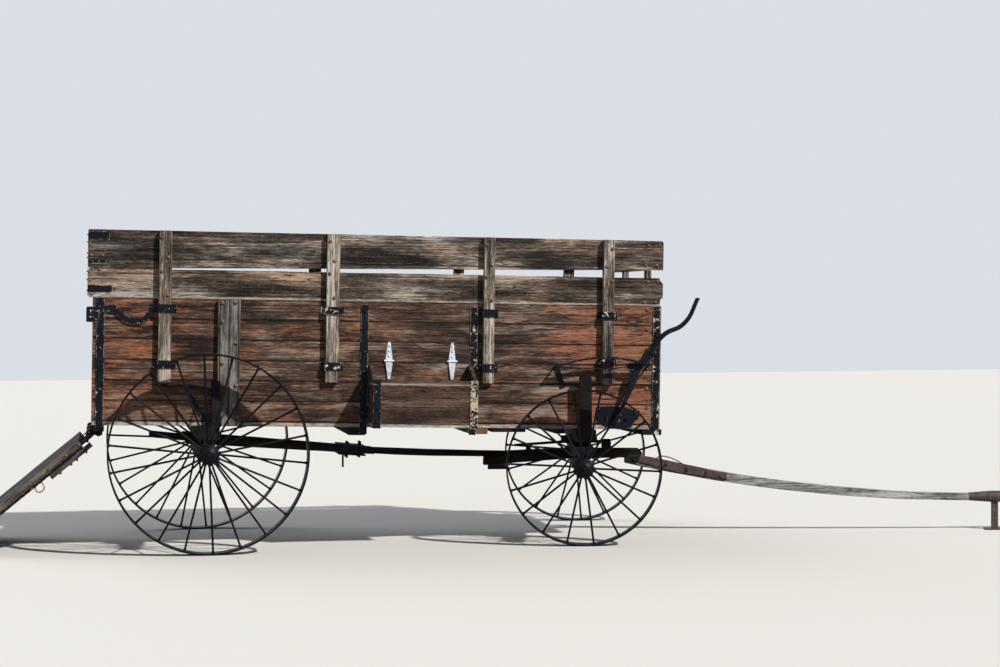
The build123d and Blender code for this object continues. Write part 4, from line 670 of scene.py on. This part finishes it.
def add_bar(bm, x0, x1, y0, y1, z0, z1):
    """A flat bar or plate with rubbed edges."""
    part = bmesh.new()
    bmesh.ops.create_cube(part, size=1.0)
    size = Vector((abs(x1 - x0), abs(y1 - y0), abs(z1 - z0)))
    middle = Vector(((x0 + x1) / 2, (y0 + y1) / 2, (z0 + z1) / 2))
    bmesh.ops.transform(part, matrix=Matrix.Translation(middle) @ Matrix.Diagonal(size.to_4d()), verts=part.verts)
    bmesh.ops.bevel(part, geom=part.edges[:], offset=min(RUBBED, min(size) * 0.3), segments=1, profile=0.6,
                    affect="EDGES")
    mesh = bpy.data.meshes.new("bar")
    part.to_mesh(mesh)
    part.free()
    bm.from_mesh(mesh)
    bpy.data.meshes.remove(mesh)


ROD_SIDES = 8


def add_tube(bm, points, radius):
    """A round rod that follows points."""
    points = [Vector(point) for point in points]
    rings = []
    for index, point in enumerate(points):
        before = points[max(index - 1, 0)]
        after = points[min(index + 1, len(points) - 1)]
        turn = (after - before).to_track_quat("Z", "Y").to_matrix()
        rings.append([bm.verts.new(point + turn @ spot) for spot in circle(radius, ROD_SIDES)])
    for low, high in zip(rings, rings[1:]):
        for i in range(ROD_SIDES):
            j = (i + 1) % ROD_SIDES
            bm.faces.new((low[i], low[j], high[j], high[i]))
    bm.faces.new(list(reversed(rings[0])))
    bm.faces.new(rings[-1])


# How far out from the middle the bolts' seats lie, then the bolts' places on the sides of the box: x, height, size
STAKE_OUT = 610.0
CLEAT_OUT = 600.0
IRON_OUT = 576.3
stake_bolts = (
    (-268, 1762, 8.5), (-232, 1653, 8.5), (-266, 1572, 8.5), (-232, 1440, 8.5),
    (676, 1759, 8.5), (703, 1649, 8.5), (676, 1577, 8.5), (702, 1439, 8.5),
    (1578, 1757, 8.5), (1608, 1643, 8.5), (1578, 1574, 8.5), (1608, 1440, 8.5),
    (2311, 1749, 8.5), (2279, 1648, 8.5), (2310, 1563, 8.5), (2279, 1438, 8.5),
)
rack_bolts = (
    (2535, 1774, 7.5), (2602, 1776, 7.5), (2519, 1658, 7.5), (2586, 1658, 7.5), (2534, 1565, 7.5), (2592, 1566, 7.5),
    (2513, 1443, 7.5), (2580, 1444, 7.5), (-300, 1613, 6.0), (-664, 1721, 6.5), (-660, 1657, 6.5), (-596, 1658, 6.5),
    (-651, 1579, 6.5), (-612, 1577, 6.5), (-662, 1517, 6.5), (-652, 1439, 6.5),
)
plank_bolts = (
    (2532, 1400, 8.0), (2534, 1286, 8.0), (2535, 1173, 8.0), (2537, 1056, 8.0), (2538, 941, 8.0), (2540, 829, 8.0),
)
cleat_bolts = (
    (73, 1402, 10.0), (148, 1404, 10.0), (73, 1296, 10.0), (152, 1176, 10.0), (75, 1060, 10.0), (155, 937, 10.0),
    (157, 761, 10.0),
)
plank_middles = [BOX_BOTTOM + SILL_STRIP + PLANK_HEIGHT * (row + 0.5) for row in range(6)]
iron_rows = (-603.0, 882.0, 1512.0, 2590.0)
iron_bolts = [(x, z, 7.0) for x in iron_rows for z in plank_middles]
# Staples round the stakes: x, width, heights of the upper and the lower one over the box's underside
staple_rows = (
    (-247.0, 72.0, 661.0, 346.0), (697.0, 75.0, 661.0, 346.0),
    (1594.0, 63.0, 661.0, 347.0), (2294.0, 64.0, 656.0, 398.0),
)
STAPLE_TAB = 16.0
staple_bolts = [(x + end * (wide / 2 + STAPLE_TAB + 1.0), BOX_BOTTOM + height, 5.5)
                for x, wide, upper, lower in staple_rows for height in (upper, lower) for end in (-1, 1)]
# The irons on the rear corner end at CORNER_IN, clear of the shut tailgate
CORNER_IN = 549.0
CORNER_BAR_FACE = -674.4
CORNER_STRAP_FACE = -674.3
CORNER_STRAP = 3.3
CORNER_NUT_SIDE = 558.0
corner_nuts = (1460, 1520, 1566, 1642, 1668, 1730, 1772)
corner_straps = ((-557, 1746, 1791), (-582, 1617, 1631), (-542, 1452, 1489))
for side, label in SIDES:
    out = (0, side, 0)
    wood_rows = [(x, side * STAKE_OUT, z, out, size, "dome") for x, z, size in stake_bolts]
    wood_rows += [(x, side * RACK_OUT, z, out, size, "dome") for x, z, size in rack_bolts + plank_bolts]
    wood_rows += [(x, side * CLEAT_OUT, z, out, size, "dome") for x, z, size in cleat_bolts]
    hardware("side_bolts_" + label, BOX, "wagon_box", bolt_rust, wood_rows)
    iron_rows_out = [(x, side * IRON_OUT, z, out, size, "dome") for x, z, size in iron_bolts]
    iron_rows_out += [(x, side * IRON_OUT, z, out, size, "dome") for x, z, size in staple_bolts]
    hardware("iron_bolts_" + label, BOX, "wagon_box", chipped_iron, iron_rows_out)

    # Iron bar up the rear corner of the rack boards, and straps round it: front end, lower and upper edge
    inner = side * CORNER_IN
    outer = side * (RACK_OUT + CORNER_STRAP)
    plates = bmesh.new()
    add_bar(plates, RACK_REAR - 0.2, CORNER_BAR_FACE, inner, side * (RACK_OUT + 0.2), 1432, 1796)
    for height in corner_nuts:
        add_nut(plates, facing((RACK_REAR, side * CORNER_NUT_SIDE, height), (-1, 0, 0)), 4.5)
    for front, low, high in corner_straps:
        add_bar(plates, RACK_REAR, front, side * (RACK_OUT + 0.3), outer, low, high)
        add_bar(plates, RACK_REAR, CORNER_STRAP_FACE, inner, outer, low, high)
        for place in (-655, front + 16):
            add_dome(plates, facing((place, outer, (low + high) / 2), out), 5.0)
    add_piece("corner_straps_" + label, plates, BOX, "wagon_box", chipped_iron)

# Hinge screws, side box bolts and brake bolts on the right side
RIGHT = (0, -1, 0)
HINGE_OUT = 573.3
HINGE_PIN = 1085.0
hinge_rows = [(x, -HINGE_OUT, HINGE_PIN + up, RIGHT, 5.0, "dome") for x in (1025.0, 1389.0) for up in (28, 58, 88)]
hardware("hinge_screws", BOX, "wagon_box", zinc, hinge_rows)
SIDE_BOX_OUT = 817.2
strap_rows = [(x, -SIDE_BOX_OUT, z, RIGHT, 6.0, "dome") for x in (932.0, 1483.0) for z in (745, 815, 885, 950)]
hardware("side_box_bolts", BOX, "wagon_box", box_strap_iron, strap_rows)
PIVOT_X = 2349.0
PIVOT_Z = 760.5
BRAKE_PLATE_OUT = 578.3
plate_corners = ((-51, 5.5), (65, 2.5), (-92, 58), (120, 40))
plate_rows = [(PIVOT_X + x, -BRAKE_PLATE_OUT, PIVOT_Z + z, RIGHT, 7.5, "nut") for x, z in plate_corners]
hardware("brake_bolts", BOX, "wagon_box", brake_iron, plate_rows)

# Bolts up the two posts of the front end, left and right of the middle of a post in turn
POST_FRONT = 2612.2
POST_MIDDLE = 300.0
POST_ZIGZAG = 9.0
post_heights = plank_middles + [1470.0, 1540.0, 1680.0]
post_rows = [(POST_FRONT, side * POST_MIDDLE + POST_ZIGZAG * (-1) ** (index + 1), z, (1, 0, 0), 7.5, "dome")
             for side in (-1, 1) for index, z in enumerate(post_heights)]
hardware("front_bolts", BOX, "wagon_box", bolt_rust, post_rows)

# Nails of the floor boards over the sills
FLOOR_TOP = 727.0
FLOOR_EDGE = -547.2
BOARD_PITCH = 136.9
sill_places = (-606.0, 847.0, 1551.0, 2310.0)
floor_nails = [(x, FLOOR_EDGE + BOARD_PITCH * board + edge, FLOOR_TOP + 0.2, (0, 0, 1), 3.6, "dome")
               for x in sill_places for board in range(8) for edge in (28.0, 108.0)]
hardware("floor_nails", BOX, "wagon_box", bolt_rust, floor_nails)

# Tongue: bolts through its iron plates, and a bent rod over them
plate_bolts = ((527, 413, 41.3), (651, 380, 45.3), (768, 362, 45.3), (850, 338, 45.3))
tongue_rows = [(u, side * thick, z, (0, side, 0), 8.5, "nut" if side < 0 else "dome")
               for side in (-1, 1) for u, z, thick in plate_bolts]
hardware("tongue_bolts", GEAR, "tongue", plate_rust, tongue_rows)
rod_path = ((452, -22, 428), (470, -24, 448), (487, -26, 459), (520, -28, 456), (553, -30, 447), (590, -32, 430),
            (622, -33, 411), (640, -33, 394))
rod = bmesh.new()
add_tube(rod, rod_path, 3.5)
add_piece("tongue_rod", rod, GEAR, "tongue", plate_rust, True)

# Tailgate: bolts along its rails, nuts under its cleats, edging, and a ring that hangs from it
GATE_SIDE = 540.0
RAIL_MIDDLE = -10.0
CLEAT_UNDER = -66.0
EDGING_UNDER = -41.0
rail_bolts = (82, 176, 301, 432, 560, 690, 820, 950)
cleat_nuts = (79, 146, 187, 264)
gate_bolts = bmesh.new()
edging = bmesh.new()
for side in (-1, 1):
    out = (0, side, 0)
    for u in rail_bolts:
        add_dome(gate_bolts, facing((RAIL_MIDDLE, side * GATE_SIDE, u), out), 7.5)
    for u in cleat_nuts:
        add_nut(gate_bolts, facing((CLEAT_UNDER, side * (GATE_SIDE - 21), u), (-1, 0, 0)), 8.0)
    inner, outer = sorted((side * (GATE_SIDE - 30), side * (GATE_SIDE + 2.5)))
    add_bar(edging, EDGING_UNDER, -38.2, inner, outer, 324, 1018)
    inner, outer = sorted((side * (GATE_SIDE + 0.2), side * (GATE_SIDE + 2.5)))
    add_bar(edging, EDGING_UNDER, -24.0, inner, outer, 76, 1018)
add_piece("gate_bolts", gate_bolts, GATE, "tailgate", bolt_rust)
add_piece("gate_edging", edging, GATE, "tailgate", chipped_iron)
RING_SIDE = -528
RING_ROD = 4.5
ring = bmesh.new()
turns = [radians(200 + step * 12) for step in range(19)]
add_tube(ring, [(-58 + 24 * sin(a), RING_SIDE, 402 + 26 * cos(a)) for a in turns], RING_ROD)
add_tube(ring, ((-38, RING_SIDE, 378), (-50, RING_SIDE, 376), (-62, RING_SIDE, 378)), RING_ROD)
add_piece("gate_ring", ring, GATE, "tailgate", ring_rust, True)

# Wheels: collars where the spokes meet the hub and the rim, and rings on the hub's end
HUB_FLANGE = 56.0
FLANGE_OUT = 52.0
TYRE = 10.0
RIM_STAGGER = 0.35
HUB_OUT = 150.0


def wheel_place(gear, radius, side):
    """A wheel's own frame, whose -Y points outward."""
    place = gear @ Matrix.Translation((0, side * HALF_TRACK, radius))
    return (place @ Matrix.Rotation(pi, 4, "Z") if side > 0 else place) @ MM


# Name, frame of its axle, side, radius in metres, spokes, and the first spoke's angle
WHEELS = (
    ("rear_right", AT_AXLE, -1, REAR_RADIUS, 22, 10.2), ("rear_left", AT_AXLE, 1, REAR_RADIUS, 22, 3.0),
    ("front_right", STEERED, -1, FRONT_RADIUS, 18, -3.0), ("front_left", STEERED, 1, FRONT_RADIUS, 18, 5.0),
)
for wheel, axle, side, radius, count, first in WHEELS:
    matrix = wheel_place(axle, radius, side)
    collars = bmesh.new()
    for index in range(count):
        angle = radians(first + index * 360.0 / count)
        stagger = FLANGE_OUT if index % 2 else -FLANGE_OUT
        ray = Vector((cos(angle), 0, sin(angle)))
        foot = ray * (HUB_FLANGE + 1.0) + Vector((0, stagger, 0))
        head = ray * (radius * 1000 - TYRE - 1.0) + Vector((0, stagger * RIM_STAGGER, 0))
        way = (head - foot).normalized()
        add_lathe(collars, facing(foot, way), ((9.5, 0), (9.5, 5), (7.5, 9)), 8)
        add_lathe(collars, facing(head, -way), ((9.0, 0), (8.5, 3), (6.8, 10)), 8)
    add_piece("collars_" + wheel, collars, matrix, "wheel_" + wheel, wheel_iron)
    rings = bmesh.new()
    outward = facing((0, -HUB_OUT, 0), (0, -1, 0))
    add_lathe(rings, outward, ((24, -13), (24, -9.5), (21, -6.5), (19.5, -7.5)), 24)
    add_lathe(rings, outward, ((9.0, -2), (9.0, 2.5), (7.0, 4.0), (0, 4.0)), 6)
    add_lathe(rings, outward, ((49, -70), (49, -62), (46, -58)), 28)
    add_lathe(rings, outward, ((49, -52), (49, -46), (46, -43)), 28)
    add_piece("hub_rings_" + wheel, rings, matrix, "wheel_" + wheel, wheel_iron)


def seen_rays(tree):
    """1 for what the camera sees, also in a reflection or through glass, and 0 for light that falls on things."""
    rays = tree.nodes.new("ShaderNodeLightPath")
    seen = rays.outputs["Is Camera Ray"]
    for kind in ("Is Glossy Ray", "Is Transmission Ray"):
        either = tree.nodes.new("ShaderNodeMath")
        either.operation = "MAXIMUM"
        tree.links.new(seen, either.inputs[0])
        tree.links.new(rays.outputs[kind], either.inputs[1])
        seen = either.outputs[0]
    return seen


# Floor
FLOOR_SPAN = 30.0
floor_mesh = bpy.data.meshes.new("floor")
corners = [(x * FLOOR_SPAN, y * FLOOR_SPAN, 0) for x, y in ((-1, -1), (1, -1), (1, 1), (-1, 1))]
floor_mesh.from_pydata(corners, [], [(0, 1, 2, 3)])
floor = bpy.data.objects.new("floor", floor_mesh)
scene.collection.objects.link(floor)
# The floor looks pale, but throws back little more light than the field in the photo
FLOOR_THROWN = (0.24, 0.24, 0.23, 1)
FLOOR_SEEN = (0.62, 0.61, 0.585, 1)
floor_material = bpy.data.materials.new("floor")
floor_material.use_nodes = True
floor_tree = floor_material.node_tree
floor_shader = floor_tree.nodes["Principled BSDF"]
floor_shader.inputs["Roughness"].default_value = 0.9
shade = floor_tree.nodes.new("ShaderNodeMix")
shade.data_type = "RGBA"
shade.inputs[6].default_value = FLOOR_THROWN
shade.inputs[7].default_value = FLOOR_SEEN
floor_tree.links.new(seen_rays(floor_tree), shade.inputs[0])
floor_tree.links.new(shade.outputs[2], floor_shader.inputs["Base Color"])
floor_mesh.materials.append(floor_material)

# Sky: a soft light on the object, with a plain pale backdrop for what the camera sees
SKY_COLOUR = (0.88, 0.93, 1.0, 1)
SKY_STRENGTH = 0.22
BACKDROP_COLOUR = (0.70, 0.74, 0.79, 1)
world = bpy.data.worlds.new("world")
scene.world = world
world.use_nodes = True
world_nodes = world.node_tree.nodes
sky = world_nodes["Background"]
sky.inputs["Color"].default_value = SKY_COLOUR
sky.inputs["Strength"].default_value = SKY_STRENGTH
backdrop = world_nodes.new("ShaderNodeBackground")
backdrop.inputs["Color"].default_value = BACKDROP_COLOUR
which = world_nodes.new("ShaderNodeMixShader")
world.node_tree.links.new(seen_rays(world.node_tree), which.inputs[0])
world.node_tree.links.new(sky.outputs[0], which.inputs[1])
world.node_tree.links.new(backdrop.outputs[0], which.inputs[2])
world.node_tree.links.new(which.outputs[0], world_nodes["World Output"].inputs["Surface"])


def add_sun(name, strength, colour, spread, way):
    """A distant lamp that shines one way; spread is its angle in degrees."""
    data = bpy.data.lights.new(name, "SUN")
    data.energy = strength
    data.color = colour
    data.angle = radians(spread)
    lamp = bpy.data.objects.new(name, data)
    lamp.rotation_euler = Vector(way).to_track_quat("-Z", "Y").to_euler()
    scene.collection.objects.link(lamp)


add_sun("sun", 4.6, (1.0, 0.96, 0.9), 2.0, (-0.85, 1.0, -1.1))
add_sun("fill", 1.1, (0.92, 0.96, 1.0), 50.0, (0.7, -1.0, -0.9))
